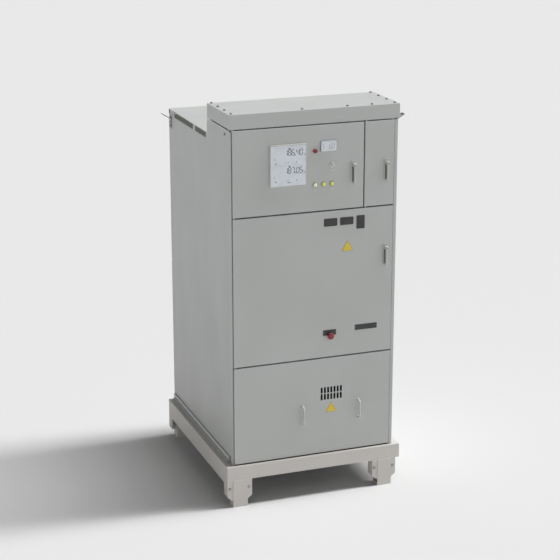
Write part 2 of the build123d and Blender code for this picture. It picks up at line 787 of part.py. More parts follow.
def handle_base(x, z):
    """Rounded backing plate with a bore for the spindle."""
    half_width, height = handle_plate[0] / 2, handle_plate[1]
    top = z + handle_drop
    block(x - half_width, x + half_width, plate_front, door_front, top - height, top)
    fillet(edges().filter_by(Axis.Y), 6)
    rod_y(x, plate_front, door_front, z, spindle_radius + running_gap, Mode.SUBTRACT)


def handle_spindle(x, z, cam_reach):
    """Hub with a rounded nose in front of the plate, shaft through the door, cam behind it."""
    block(x - hub_half, x + hub_half, pivot_y, plate_front - 0.3, z - nose_radius, z + nose_radius)
    rod_x(x - hub_half, x + hub_half, pivot_y, z, nose_radius)
    rod_y(x, plate_front - 0.3, cam_y[1], z, spindle_radius)
    block(x - 8, x + cam_reach, *cam_y, z - 8, z + 8)
    rod_x(x - hub_half, x + hub_half, pivot_y, z, pivot_radius + running_gap, Mode.SUBTRACT)


def handle_lever(x, z):
    """Narrow bar under a round lock head, with two ears that carry the pivot pin."""
    front = lever_back - lever_thick
    low = z - lever_length
    block(x - lever_half, x + lever_half, front, lever_back, low, z)
    fillet(edges().filter_by(Axis.Y), 4)
    rod_y(x, front, lever_back, z, head_radius)
    for side in (-1, 1):
        inner, outer = side * (hub_half + 0.3), side * ear_half
        block(*sorted((x + inner, x + outer)), lever_back, pivot_y + 6, z - 5, z + 5)
    rod_x(x - ear_half, x + ear_half, pivot_y, z, pivot_radius)
    rod_y(x, front - 2.5, front, z, 8)
    block(x - lip_half, x + lip_half, lever_back, plate_front - lip_gap, low, low + lip_height)


handles = (
    ("instrument_handle", instrument_handle, 48),
    ("narrow_handle", narrow_handle, 26),
    ("breaker_handle", breaker_handle, 24),
)
for name, (x, z), cam_reach in handles:
    with BuildPart() as base:
        handle_base(x, z)
    save(base, name + "_base")
    with BuildPart() as spindle:
        handle_spindle(x, z, cam_reach)
    save(spindle, name + "_spindle")
    with BuildPart() as lever:
        handle_lever(x, z)
    save(lever, name + "_lever")

# ---- hinge pivots and door seals ------------------------------------------------------------------
tab_front = door_front + 3
pin_reach = bush_length - 2
pivots = (                      # door's left edge, height of the tab, pin below, pin above
    (door_left, upper_door_top + 2, True, False),
    (door_left, breaker_door_top + 2, True, True),
    (door_left, breaker_door_bottom - 6, False, True),
    (narrow_left, upper_door_top + 2, True, False),
    (narrow_left, breaker_door_top + 2, False, True),
)
with BuildPart() as hinge_pivots:
    for edge, tab_z, below, above in pivots:
        block(edge + 2, edge + 2 * hinge_inset, tab_front, post_front, tab_z, tab_z + tab_thick)
        x, y = edge + hinge_inset, door_front + hinge_depth
        low = tab_z - 2 - pin_reach if below else tab_z
        high = tab_z + tab_thick + 2 + pin_reach if above else tab_z + tab_thick
        rod_z(x, y, low, high, pin_radius)
save(hinge_pivots, "hinge_pivots")

seal_width = 8
seal_front = door_back + 0.5
seal_inset = 17
seal_frames = (
    (door_left, upper_split, upper_door_bottom, upper_door_top),
    (narrow_left, door_edge, upper_door_bottom, upper_door_top),
    (door_left, door_edge, breaker_door_bottom, breaker_door_top),
    (door_left, door_edge, cover_bottom, cover_top),
)
with BuildPart() as door_seals:
    for left, right, low, high in seal_frames:
        inset_right = 3 if right == upper_split else 8
        x0, x1 = left + seal_inset, right - inset_right
        z0, z1 = low + 5, high - 5
        block(x0, x1, seal_front, post_front, z0, z1)
        block(x0 + seal_width, x1 - seal_width, seal_front, post_front, z0 + seal_width, z1 - seal_width,
              mode=Mode.SUBTRACT)
save(door_seals, "door_seals")

# ================================================================================================
# Circuit-breaker truck
# ================================================================================================
truck_front = -330
chassis_half = 272
chassis_z = (905, 911)
side_plate = 6
axle_radius = 8
axle_y = (-280, -70)
with BuildPart() as truck_chassis:
    block(-chassis_half, chassis_half, truck_front + 4, -30, *chassis_z)
    for side in (-1, 1):
        block(*sorted((side * chassis_half, side * (chassis_half - side_plate))), truck_front + 4, -30,
              872, chassis_z[0])
        for y in axle_y:
            rod_x(*sorted((side * chassis_half, side * (chassis_half - side_plate))), y, axle_height,
                  axle_radius + running_gap, Mode.SUBTRACT)
save(truck_chassis, "truck_chassis")

for name, y in zip(("front_wheelset", "rear_wheelset"), axle_y):
    with BuildPart() as wheelset:
        rod_x(-wheel_faces[1], wheel_faces[1], y, axle_height, axle_radius)
        for side in (-1, 1):
            rod_x(*sorted(side * face for face in wheel_faces), y, axle_height, wheel_radius)
        fillet(edges().filter_by(GeomType.CIRCLE).group_by(SortBy.RADIUS)[-1], 2)
        for side in (-1, 1):
            for hole in range(wheel_holes):
                angle = 2 * math.pi * hole / wheel_holes
                rod_x(*sorted(side * face for face in wheel_faces), y + wheel_hole_ring * math.cos(angle),
                      axle_height + wheel_hole_ring * math.sin(angle), wheel_hole_radius, Mode.SUBTRACT)
    save(wheelset, name)

cover_half = 280
cover_back = -205
cover_z = (chassis_z[1], 1560)
front_button_x = (-120, -40)
front_button_z = 1480
counter_window = (20, 110, 1440, 1520)
racking_socket_z = 1000
with BuildPart() as mechanism_cover:
    block(-cover_half, cover_half, truck_front, cover_back, *cover_z)
    fillet(faces().sort_by(Axis.Y)[0].edges(), 4)
    block(-cover_half + 3, cover_half - 3, truck_front + 3, cover_back, cover_z[0] + 3, cover_z[1] - 3,
          mode=Mode.SUBTRACT)
    for x in front_button_x:
        rod_y(x, truck_front - 8, truck_front, front_button_z, 14)
    block(*counter_window[:2], truck_front - 4, truck_front, *counter_window[2:])
    rod_y(0, truck_front - 6, truck_front, racking_socket_z, 18)
    rod_y(0, truck_front - 6, truck_front + 3, racking_socket_z, 9, Mode.SUBTRACT)
save(mechanism_cover, "mechanism_cover")

pole_y = -120
pole_radius = 62
pole_z = (990, 1570)
pole_ribs = 5
rib_pitch = 32
rib_low = 1210
with BuildPart() as breaker_poles:
    for phase in phases:
        rod_z(phase, pole_y, *pole_z, pole_radius)
        for rib in range(pole_ribs):
            height = rib_low + rib * rib_pitch
            rod_z(phase, pole_y, height, height + 10, pole_radius + 9)
        rod_z(phase, pole_y, chassis_z[1], pole_z[0], 36)
save(breaker_poles, "breaker_poles")

arm_radius = 18
tulip_radius = 38
tulip_y = (-15, 35)
with BuildPart() as contact_arms:
    for phase in phases:
        for height in (upper_contact, lower_contact):
            rod_y(phase, pole_y + pole_radius - 1, tulip_y[0], height, arm_radius)
            rod_y(phase, tulip_y[0] - 6, tulip_y[1], height, tulip_radius)
            rod_y(phase, tulip_y[0], tulip_y[1], height, stud_radius + 0.6, Mode.SUBTRACT)
            # the arm's root is let into the pole
            rod_z(phase, pole_y, height - 40, height + 40, pole_radius, Mode.SUBTRACT)
save(contact_arms, "contact_arms")

# ================================================================================================
# Earthing switch
# ================================================================================================
shaft_y = 460
shaft_z = 694
shaft_radius = 12
blade_length = 118
blade_offset = (27, 31)
with BuildPart() as earth_switch:
    rod_x(-wall_inside + 1, wall_inside - 1, shaft_y, shaft_z, shaft_radius)
    for phase in phases:
        for side in (-1, 1):
            x0, x1 = sorted((phase + side * blade_offset[0], phase + side * blade_offset[1]))
            block(x0, x1, shaft_y - 15, shaft_y + 15, shaft_z - blade_length, shaft_z)
save(earth_switch, "earth_switch")
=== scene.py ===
"""Looks of the switchgear cubicle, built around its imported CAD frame, in metres."""
import json
import math

import bmesh
import bpy
from mathutils import Matrix, Vector


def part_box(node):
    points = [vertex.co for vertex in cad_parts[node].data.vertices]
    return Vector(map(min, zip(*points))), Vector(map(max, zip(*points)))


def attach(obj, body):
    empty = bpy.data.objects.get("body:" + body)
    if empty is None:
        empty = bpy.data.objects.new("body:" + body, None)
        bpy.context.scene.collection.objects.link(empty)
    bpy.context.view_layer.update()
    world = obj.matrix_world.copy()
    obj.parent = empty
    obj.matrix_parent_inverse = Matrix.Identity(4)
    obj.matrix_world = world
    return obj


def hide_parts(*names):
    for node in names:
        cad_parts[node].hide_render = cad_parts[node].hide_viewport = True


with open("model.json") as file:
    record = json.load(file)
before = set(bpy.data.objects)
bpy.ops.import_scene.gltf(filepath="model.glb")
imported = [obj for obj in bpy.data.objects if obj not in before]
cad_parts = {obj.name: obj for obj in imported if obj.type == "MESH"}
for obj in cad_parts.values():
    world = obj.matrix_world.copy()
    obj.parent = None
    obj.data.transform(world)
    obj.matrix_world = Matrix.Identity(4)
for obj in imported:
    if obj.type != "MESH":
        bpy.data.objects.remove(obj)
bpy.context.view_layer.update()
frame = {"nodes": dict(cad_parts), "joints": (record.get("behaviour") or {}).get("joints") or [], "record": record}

# ---- Geometry helpers ----
# across, up and outwards of the six ways a detail can face
SIDES = {
    "front": ((1, 0, 0), (0, 0, 1), (0, -1, 0)),
    "back": ((-1, 0, 0), (0, 0, 1), (0, 1, 0)),
    "left": ((0, -1, 0), (0, 0, 1), (-1, 0, 0)),
    "right": ((0, 1, 0), (0, 0, 1), (1, 0, 0)),
    "up": ((1, 0, 0), (0, 1, 0), (0, 0, 1)),
}


def facing(origin, side):
    """Matrix of a local frame at origin whose z axis points out of that side."""
    across, upward, outward = SIDES[side]
    rows = [[across[i], upward[i], outward[i], origin[i]] for i in range(3)]
    return Matrix(rows + [[0, 0, 0, 1]])


def in_front(low, high, face):
    """Frame on a front face, level with the middle of a box."""
    return facing(((low.x + high.x) / 2, face, (low.z + high.z) / 2), "front")


def standing(low, high):
    """Frame that points up from the middle of a box's foot."""
    return facing(((low.x + high.x) / 2, (low.y + high.y) / 2, low.z), "up")


def shifted(place, x, y, z=0):
    return place @ Matrix.Translation((x, y, z))


def front_of(node):
    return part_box(node)[0].y


def circle(radius, count=32):
    turns = [2 * math.pi * step / count for step in range(count)]
    return [(radius * math.cos(turn), radius * math.sin(turn)) for turn in turns]


def hexagon(across_flats, count=24):
    """Hexagon as count points, so that it can be lofted to a circle of as many."""
    points = []
    for step in range(count):
        turn = 2 * math.pi * step / count
        off = (turn + math.pi / 6) % (math.pi / 3) - math.pi / 6
        reach = across_flats / 2 / math.cos(off)
        points.append((reach * math.cos(turn), reach * math.sin(turn)))
    return points


def rounded_rect(width, height, radius, centre=(0, 0), steps=4):
    """Rectangle with rounded corners, anticlockwise from the lower right corner."""
    radius = max(min(radius, width / 2 - 1e-6, height / 2 - 1e-6), 1e-5)
    points = []
    for corner, (side_x, side_y) in enumerate(((1, -1), (1, 1), (-1, 1), (-1, -1))):
        start = math.radians(90 * corner - 90)
        for step in range(steps + 1):
            turn = start + math.pi / 2 * step / steps
            points.append((centre[0] + side_x * (width / 2 - radius) + radius * math.cos(turn),
                           centre[1] + side_y * (height / 2 - radius) + radius * math.sin(turn)))
    return points


def rounded_triangle(side, radius, steps=4):
    """Upright equilateral triangle about its centre, with rounded corners."""
    reach = side / math.sqrt(3) - 2 * radius
    points = []
    for corner in range(3):
        middle = math.radians(90 + 120 * corner)
        for step in range(steps + 1):
            turn = middle + math.radians(120) * (step / steps - 0.5)
            points.append((reach * math.cos(middle) + radius * math.cos(turn),
                           reach * math.sin(middle) + radius * math.sin(turn)))
    return points


def at_height(outline, height):
    return [(x, y, height) for x, y in outline]


def loft(mesh, rings, place, closed=False):
    """Skin through rings of equally many points. A closed loft joins the last ring to the first."""
    rows = [[mesh.verts.new(place @ Vector(point)) for point in ring] for ring in rings]
    count = len(rows[0])
    pairs = list(zip(rows, rows[1:]))
    if closed:
        pairs.append((rows[-1], rows[0]))
    for low, high in pairs:
        for step in range(count):
            after = (step + 1) % count
            mesh.faces.new((low[step], low[after], high[after], high[step]))
    if not closed:
        mesh.faces.new(list(reversed(rows[0])))
        mesh.faces.new(rows[-1])


def turned(mesh, profile, place, count=32, closed=False):
    """Solid of revolution: profile holds (radius, height) pairs along the outward axis."""
    loft(mesh, [at_height(circle(radius, count), height) for radius, height in profile], place, closed)


def slab(mesh, size, radius, levels, place, centre=(0, 0)):
    """Rounded plate: levels are (inset, height) pairs from its back to its front."""
    rings = []
    for inset, height in levels:
        outline = rounded_rect(size[0] - 2 * inset, size[1] - 2 * inset, radius - inset, centre)
        rings.append(at_height(outline, height))
    loft(mesh, rings, place)


def brick(mesh, low, high, edge=0.0006):
    """Box between two corners with its edges broken."""
    low, high = Vector(low), Vector(high)
    size, middle = high - low, (low + high) / 2
    place = facing((middle.x, high.y, middle.z), "front")
    levels = ((edge, 0), (0, edge), (0, size.y - edge), (edge, size.y))
    slab(mesh, (size.x, size.z), 1.5 * edge, levels, place)


def tube(mesh, path, radius, place, count=16):
    """Round bar along a path that lies in the local y-z plane."""
    rings = []
    for step, point in enumerate(path):
        before, after = path[max(step - 1, 0)], path[min(step + 1, len(path) - 1)]
        along = Vector((0, after[0] - before[0], after[1] - before[1])).normalized()
        across = Vector((1, 0, 0))
        normal = along.cross(across)
        middle = Vector((0, point[0], point[1]))
        rings.append([middle + across * x + normal * y for x, y in circle(radius, count)])
    loft(mesh, rings, place)


def arc(centre, radius, start, end, steps=8):
    """Points of an arc, with its angles in degrees."""
    turns = [math.radians(start + (end - start) * step / steps) for step in range(steps + 1)]
    return [(centre[0] + radius * math.cos(turn), centre[1] + radius * math.sin(turn)) for turn in turns]


def linked(name, data):
    """New object of the scene with this data."""
    made = bpy.data.objects.new(name, data)
    bpy.context.scene.collection.objects.link(made)
    return made


def piece(name, mesh, body, slot, stands_for=(), material=None, crease=32):
    """Makes the mesh an object that rides on a body, in the finish of its slot unless told otherwise."""
    bmesh.ops.recalc_face_normals(mesh, faces=mesh.faces)
    data = bpy.data.meshes.new(name)
    mesh.to_mesh(data)
    mesh.free()
    data.polygons.foreach_set("use_smooth", [True] * len(data.polygons))
    data.set_sharp_from_angle(angle=math.radians(crease))
    data.materials.append(material or finishes[slot])
    made = linked(name, data)
    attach(made, body)
    if stands_for:
        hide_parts(*stands_for)


def solids(node):
    """Lowest and highest corner of each separate solid of a CAD node, in a steady order."""
    data = frame["nodes"][node].data
    keys = [tuple(round(value, 5) for value in vertex.co) for vertex in data.vertices]
    leader = {key: key for key in keys}

    def find(key):
        while leader[key] != key:
            leader[key] = leader[leader[key]]
            key = leader[key]
        return key

    for face in data.polygons:
        first = find(keys[face.vertices[0]])
        for index in face.vertices[1:]:
            leader[find(keys[index])] = first
    groups = {}
    for key in leader:
        groups.setdefault(find(key), []).append(key)
    boxes = []
    for members in groups.values():
        low = Vector([min(point[axis] for point in members) for axis in range(3)])
        high = Vector([max(point[axis] for point in members) for axis in range(3)])
        boxes.append((low, high))
    return sorted(boxes, key=lambda box: tuple(round(value, 4) for value in box[0]))


# ---- Materials ----
class Nodes:
    """Node tree fed by one kind of texture coordinates."""

    def __init__(self, tree, coords):
        self.tree = tree
        self.coords = self.add("TexCoord", coords)

    def feed(self, socket, value):
        if isinstance(value, bpy.types.NodeSocket):
            self.tree.links.new(value, socket)
        else:
            socket.default_value = value

    def add(self, kind, output, **inputs):
        """Adds a node, feeds its inputs and returns one of its outputs."""
        node = self.tree.nodes.new("ShaderNode" + kind)
        for name, value in inputs.items():
            self.feed(node.inputs[name.replace("_", " ")], value)
        return node.outputs[output]

    def axis(self, name):
        return self.add("SeparateXYZ", name, Vector=self.coords)

    def remap(self, value, low, high, to_low, to_high):
        return self.add("MapRange", "Result", Value=value, From_Min=low, From_Max=high,
                        To_Min=to_low, To_Max=to_high)


class Surface(Nodes):
    """Node material: a Principled shader with object coordinates and a few texture helpers."""

    def __init__(self, name, **sockets):
        self.material = bpy.data.materials.new(name)
        self.material.use_nodes = True
        super().__init__(self.material.node_tree, "Object")
        self.shader = self.tree.nodes["Principled BSDF"]
        for socket, value in sockets.items():
            self.set(socket.replace("_", " "), value)

    def set(self, socket, value):
        self.feed(self.shader.inputs[socket], value)

    def stretched(self, scale):
        return self.add("Mapping", "Vector", Scale=scale, Vector=self.coords)

    def noise(self, scale, detail=2.0, coords=None):
        return self.add("TexNoise", "Fac", Scale=scale, Detail=detail, Vector=coords or self.coords)

    def cells(self, scale):
        shades = self.add("TexVoronoi", "Color", Scale=scale, Vector=self.coords)
        return self.add("SeparateColor", "Red", Color=shades)

    def colour(self, value, stops):
        """Colour ramp: stops are (position, colour) pairs."""
        node = self.tree.nodes.new("ShaderNodeValToRGB")
        ramp = node.color_ramp
        while len(ramp.elements) < len(stops):
            ramp.elements.new(0.5)
        for element, (position, shade) in zip(ramp.elements, stops):
            element.position = position
            element.color = (*shade, 1)
        self.feed(node.inputs["Fac"], value)
        return node.outputs["Color"]

    def bump(self, value, distance):
        self.set("Normal", self.add("Bump", "Normal", Distance=distance, Height=value))


def tones(shade, spread):
    """A darker and a lighter tone of a colour."""
    dark = tuple(value * (1 - spread) for value in shade)
    return dark, tuple(min(value * (1 + spread), 1) for value in shade)


def paint(name, shade, roughness, soil, grain=620):
    """Powder coat: orange peel, slow tone changes, handling marks, dust that gathers low down."""
    made = Surface(name)
    dark, light = tones(shade, 0.022)
    clouds = made.colour(made.noise(2.3, 4), ((0.35, dark), (0.65, light)))
    dusty = made.remap(made.axis("Z"), *soil, 0.12, 0.0)
    brown = tuple(value * tint for value, tint in zip(shade, (0.90, 0.87, 0.82)))
    made.set("Base Color", made.add("MixRGB", "Color", Fac=dusty, Color1=clouds, Color2=(*brown, 1)))
    marks = made.noise(9, 5, made.stretched((1, 1, 0.25)))
    made.set("Roughness", made.remap(marks, 0.3, 0.7, roughness - 0.06, roughness + 0.07))
    made.bump(made.noise(grain, 1), 0.00006)
    return made.material


def sheet_steel(name, shade, roughness):
    """Galvanised sheet: crystals that differ in tone and gloss."""
    made = Surface(name, Metallic=0.85)
    dark, light = tones(shade, 0.16)
    crystals = made.cells(75)
    made.set("Base Color", made.colour(crystals, ((0.0, dark), (1.0, light))))
    made.set("Roughness", made.remap(crystals, 0, 1, roughness - 0.10, roughness + 0.10))
    made.bump(made.noise(260, 2), 0.00003)
    return made.material


def metal(name, shade, roughness, stretch=(1, 1, 1), scale=180, spread=0.10):
    """Turned or brushed metal with fine lines and slow tarnish."""
    made = Surface(name, Metallic=1.0)
    dark, light = tones(shade, spread)
    made.set("Base Color", made.colour(made.noise(14, 5), ((0.32, dark), (0.68, light))))
    lines = made.noise(scale, 3, made.stretched(stretch))
    made.set("Roughness", made.remap(lines, 0.25, 0.75, roughness - 0.08, roughness + 0.08))
    made.bump(lines, 0.00002)
    return made.material


def plastic(name, shade, roughness, grain=900, depth=0.00002, spread=0.03, **sockets):
    """Moulded plastic, rubber or resin with a spark-eroded grain."""
    made = Surface(name, **sockets)
    dark, light = tones(shade, spread)
    made.set("Base Color", made.colour(made.noise(16, 4), ((0.3, dark), (0.7, light))))
    made.set("Roughness", made.remap(made.noise(60, 3), 0.3, 0.7, roughness - 0.05, roughness + 0.06))
    made.bump(made.noise(grain, 1), depth)
    return made.material


def lit(name, shade, roughness, glow, grain=900):
    """Translucent plastic that is lit from behind, a little unevenly."""
    made = Surface(name, Emission_Strength=glow)
    dark, light = tones(shade, 0.05)
    blend = made.colour(made.noise(22, 2), ((0.3, dark), (0.7, light)))
    made.set("Base Color", blend)
    made.set("Emission Color", blend)
    made.set("Roughness", made.remap(made.noise(45, 2), 0.3, 0.7, roughness - 0.04, roughness + 0.04))
    made.bump(made.noise(grain, 1), 0.00001)
    return made.material


BODY_GREY = (0.520, 0.536, 0.524)
BASE_GREY = (0.640, 0.616, 0.588)
finishes = {
    "body_paint": paint("powder_coat_grey", BODY_GREY, 0.46, (0.25, 0.75)),
    "base_paint": paint("frame_paint", BASE_GREY, 0.55, (0.0, 0.22), 380),
    "zinc_steel": metal("zinc_steel", (0.40, 0.40, 0.395), 0.38),
    "galvanised": sheet_steel("galvanised_sheet", (0.60, 0.62, 0.64), 0.42),
    "rubber": plastic("seal_rubber", (0.022, 0.022, 0.023), 0.62, 420, 0.00005, 0.2),
    "dark_mesh": plastic("vent_screen", (0.36, 0.37, 0.32), 0.7, 500, 0.00004, 0.15),
    "epoxy": plastic("cast_resin", (0.30, 0.075, 0.042), 0.28, 150, 0.00003, 0.12, Coat_Weight=0.35),
    "copper": metal("bare_copper", (0.80, 0.42, 0.27), 0.30, (1, 1, 0.1), 240, 0.16),
    "pale_plastic": plastic("instrument_case", (0.53, 0.53, 0.515), 0.42),
    "lcd_glass": lit("display_glass", (0.60, 0.632, 0.675), 0.24, 0.17),
    "lamp_plastic": lit("lamp_yellow", (0.62, 0.66, 0.22), 0.22, 0.15),
    "chrome": metal("satin_chrome", (0.56, 0.56, 0.55), 0.28, spread=0.04),
    "handle_metal": plastic("satin_die_cast", (0.54, 0.55, 0.525), 0.36, 420, 0.00002, 0.05),
    "red_plastic": plastic("red_plastic", (0.27, 0.012, 0.024), 0.30, 700, 0.00001, 0.06, Coat_Weight=0.3),
    "window_glass": plastic("smoked_glass", (0.040, 0.037, 0.038), 0.16, 30, 0.00002, 0.12),
    "dark_plastic": plastic("dark_plastic", (0.048, 0.045, 0.046), 0.44, 800, 0.00003, 0.10),
}
screw_zinc = metal("screw_dark_zinc", (0.23, 0.23, 0.235), 0.42)
lcd_ink = plastic("display_ink", (0.13, 0.13, 0.15), 0.35)
faint_ink = plastic("faint_display_ink", (0.40, 0.40, 0.47), 0.35)
lamp_pale = lit("lamp_pale", (0.76, 0.78, 0.60), 0.22, 0.15)
sign_yellow = plastic("sign_yellow", (0.80, 0.60, 0.06), 0.40, 500, 0.00002, 0.04)
blue_case = plastic("display_case_blue", (0.17, 0.24, 0.36), 0.40)
green_plastic = plastic("green_plastic", (0.02, 0.20, 0.06), 0.32)
label_white = plastic("label_white", (0.60, 0.60, 0.55), 0.45)
lamp_rim = plastic("lamp_rim", (0.34, 0.33, 0.18), 0.36)
pink_guard = plastic("pink_guard", (0.52, 0.30, 0.30), 0.34)
# dark tone of the handle recess; it also paints the shadow the lever casts on the plate
recess_painted_shade = plastic("recess_painted_shade", (0.150, 0.152, 0.143), 0.55)
relay_grey = plastic("relay_grey", (0.16, 0.17, 0.18), 0.45)
terminal_beige = plastic("terminal_beige", (0.52, 0.47, 0.36), 0.5)


def finish_cad_nodes():
    """Every CAD node that stays takes the material of its slot."""
    for subpart in frame["record"]["subparts"]:
        data = frame["nodes"][subpart["node"]].data
        data.materials.clear()
        data.materials.append(finishes[subpart["material_slot"]])


# ---- Fasteners ----
def button_screw(mesh, place):
    """Domed screw with a hexagon socket, on a thin washer."""
    turned(mesh, ((0.008, 0), (0.008, 0.0007), (0.0077, 0.001), (0.006, 0.001)), place, 24)
    dome = [(0.0075, 0.0008), (0.0075, 0.0028), (0.0070, 0.0047), (0.0057, 0.0062), (0.0040, 0.0069)]
    rings = [at_height(circle(radius, 24), height) for radius, height in dome]
    rings.append(at_height(hexagon(0.0050), 0.0070))
    rings.append(at_height(hexagon(0.0048), 0.0040))
    loft(mesh, rings, place)


def hex_bolt(mesh, place, head=0.0135, height=0.006):
    """Hexagon head with a chamfered crown, on a washer."""
    turned(mesh, ((0.0095, 0), (0.0095, 0.0011), (0.009, 0.0015), (0.005, 0.0015)), place, 24)
    rings = [at_height(hexagon(head), 0.0012), at_height(hexagon(head), height - 0.001)]
    rings.append(at_height(circle(head * 0.47, 24), height))
    rings.append(at_height(circle(head * 0.30, 24), height))
    rings.append(at_height(circle(head * 0.28, 24), height - 0.0004))
    loft(mesh, rings, place)


def shank(mesh, place, radius, length):
    turned(mesh, ((radius, -length), (radius, 0)), place, 16)


def make_screws():
    head_height = 0.007
    mesh = bmesh.new()
    for low, high in solids("cover_screws"):
        middle = (low + high) / 2
        if middle.y > 0.5:
            place = facing((middle.x, high.y - head_height, middle.z), "back")
        else:
            place = facing((middle.x, middle.y, high.z - head_height), "up")
        button_screw(mesh, place)
        shank(mesh, place, 0.0039, 0.009)
    piece("cover_screw_heads", mesh, "cabinet", "zinc_steel", ("cover_screws",), screw_zinc)


def make_bolts():
    head_height = 0.006
    mesh = bmesh.new()
    for low, high in solids("frame_bolts"):
        size, middle = high - low, (low + high) / 2
        if size.y > size.x:
            side = "front" if middle.y < 0 else "back"
            seat = low.y + head_height if middle.y < 0 else high.y - head_height
            place = facing((middle.x, seat, middle.z), side)
        else:
            side = "left" if middle.x < 0 else "right"
            seat = low.x + head_height if middle.x < 0 else high.x - head_height
            place = facing((seat, middle.y, middle.z), side)
        hex_bolt(mesh, place)
        shank(mesh, place, 0.0049, max(size) - head_height)
    piece("frame_hex_bolts", mesh, "cabinet", "zinc_steel", ("frame_bolts",))


# ---- Door handles ----
def make_handle(name, door):
    """Dished plate on the door, hub that turns in it, and a lever that lifts off it."""
    base_low, base_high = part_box(name + "_handle_base")
    lever_low, lever_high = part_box(name + "_handle_lever")
    pivot = next(joint["pos_m"] for joint in frame["joints"] if joint["name"] == name + "_lever_lift")
    x, z = pivot[0], pivot[2]

    size = (base_high.x - base_low.x, base_high.z - base_low.z)
    thick = base_high.y - base_low.y
    place = in_front(base_low, base_high, base_high.y)
    levels = ((0, 0), (0, thick - 0.0012), (0.0004, thick - 0.0004), (0.0012, thick), (0.0034, thick),
              (0.0044, thick - 0.0006), (0.0052, thick - 0.0013))
    mesh = bmesh.new()
    slab(mesh, size, 0.0145, levels, place)
    turned(mesh, ((0.0125, thick - 0.002), (0.0125, thick - 0.0005), (0.012, thick - 0.0001),
                  (0.0075, thick - 0.0001)), facing((x, base_high.y, z), "front"))
    for drop in (0.0155, -0.101):
        spot = facing((x, base_high.y - thick + 0.0014, z + drop), "front")
        turned(mesh, ((0.0036, 0), (0.0036, 0.0006), (0.003, 0.0011), (0.0012, 0.0013)), spot, 20)
    piece(name + "_handle_plate", mesh, door, "handle_metal", (name + "_handle_base",))
    # dark insert in the plate's dish: partly the dark recess of a real swing handle, partly painted shadow of the
    # lever on the plate
    mesh = bmesh.new()
    recess = facing((x - 0.001, base_high.y, z - 0.050), "front")
    slab(mesh, (0.019, 0.112), 0.008, ((0, thick - 0.002), (0, thick - 0.0011), (0.0003, thick - 0.0008)),
         recess)
    piece(name + "_handle_recess", mesh, door, "handle_metal", material=recess_painted_shade)

    # lever: rounded head over the hub, a waist, and a grip whose end turns back to the plate
    front, back = lever_low.y + 0.0025, pivot[1] - 0.0095
    length = lever_high.z - lever_low.z
    profile = (                 # share of the length from the top, half width, front and back inset
        (0.000, 0.0020, 0.0014, 0.0010), (0.008, 0.0046, 0.0008, 0.0005), (0.025, 0.0075, 0.0003, 0.0002),
        (0.050, 0.0097, 0.0, 0.0), (0.090, 0.0110, 0.0, 0.0), (0.130, 0.0099, 0.0, 0.0),
        (0.152, 0.0080, 0.0002, 0.0), (0.175, 0.0068, 0.0008, 0.0), (0.260, 0.0064, 0.0012, 0.0002),
        (0.500, 0.0061, 0.0008, 0.0006), (0.800, 0.0064, 0.0002, 0.0004), (0.900, 0.0068, 0.0002, 0.0),
        (0.945, 0.0070, 0.0008, -0.0020), (0.975, 0.0069, 0.0028, -0.0100), (0.994, 0.0067, 0.0070, -0.0160),
        (1.000, 0.0063, 0.0110, -0.0168),
    )
    rings = []
    for share, half, front_inset, back_inset in profile:
        near, far = front + front_inset, back - back_inset
        depth, middle = far - near, (near + far) / 2
        outline = rounded_rect(2 * half, depth, min(0.0034, depth * 0.45))
        height = lever_high.z - share * length
        rings.append([(x + across, middle + inward, height) for across, inward in outline])
    mesh = bmesh.new()
    loft(mesh, rings, Matrix.Identity(4))
    for side in (-1, 1):
        spot = facing((x + side * 0.0066, pivot[1], z), "right" if side > 0 else "left")
        ear = [at_height(rounded_rect(0.017, 0.0100, 0.0045, (-side * 0.0025, 0)), level)
               for level in (0.0, 0.0018, 0.0022)]
        loft(mesh, ear, spot)
        turned(mesh, ((0.0029, -0.005), (0.0029, 0.0024), (0.0024, 0.0024)), spot, 16)
    piece(name + "_lever", mesh, name + "_lever", "handle_metal", (name + "_handle_lever",))

    # lock barrel in the lever's head
    mesh = bmesh.new()
    spot = facing((x, front, z), "front")
    turned(mesh, ((0.0081, -0.001), (0.0081, 0.0014), (0.0074, 0.0023), (0.0060, 0.0025), (0.0058, 0.0019),
                  (0.0052, 0.0017)), spot, 32)
    piece(name + "_lock_barrel", mesh, name + "_lever", "handle_metal", material=finishes["zinc_steel"])
    mesh = bmesh.new()
    slab(mesh, (0.0014, 0.0066), 0.0006, ((0, 0), (0, 0.00185)), spot)
    piece(name + "_lock_slot", mesh, name + "_lever", "handle_metal", material=finishes["dark_plastic"])


# ---- Instrument door ----
# lit segments of a seven-segment digit: top, upper right, lower right, bottom, lower left, upper left, middle
SEGMENTS = {"0": "abcdef", "1": "bc", "2": "abged", "3": "abgcd", "4": "fgbc", "5": "afgcd",
            "6": "afgedc", "7": "abc", "8": "abcdefg", "9": "abcdfg"}


def digits(mesh, text, place, height, thick=0.0002, slant=0.06):
    """Slanted seven-segment digits, from the lower left corner of the first."""
    width, stroke, pitch = height * 0.46, height * 0.125, height * 0.62
    half, mid = height / 2, stroke / 2
    bars = {
        "a": ((0, height), (width, height)), "b": ((width, height), (width, half)),
        "c": ((width, half), (width, 0)), "d": ((0, 0), (width, 0)),
        "e": ((0, half), (0, 0)), "f": ((0, height), (0, half)), "g": ((0, half), (width, half)),
    }
    left = 0
    for sign in text:
        if sign == ".":
            dot = at_height([(left + px, py + stroke * 0.3) for px, py in circle(stroke * 0.8, 12)], 0)
            loft(mesh, [dot, [(px, py, thick) for px, py, _ in dot]], place)
            left += stroke * 1.8
            continue
        for bar in SEGMENTS.get(sign, ""):
            start, end = Vector(bars[bar][0]), Vector(bars[bar][1])
            along = (end - start).normalized()
            across = Vector((-along.y, along.x)) * mid
            start, end = start + along * mid * 0.5, end - along * mid * 0.5
            outline = [start, start + along * mid + across, end - along * mid + across, end,
                       end - along * mid - across, start + along * mid - across]
            flat = [(left + p.x + slant * p.y, p.y) for p in outline]
            loft(mesh, [at_height(flat, 0), at_height(flat, thick)], place)
        left += pitch


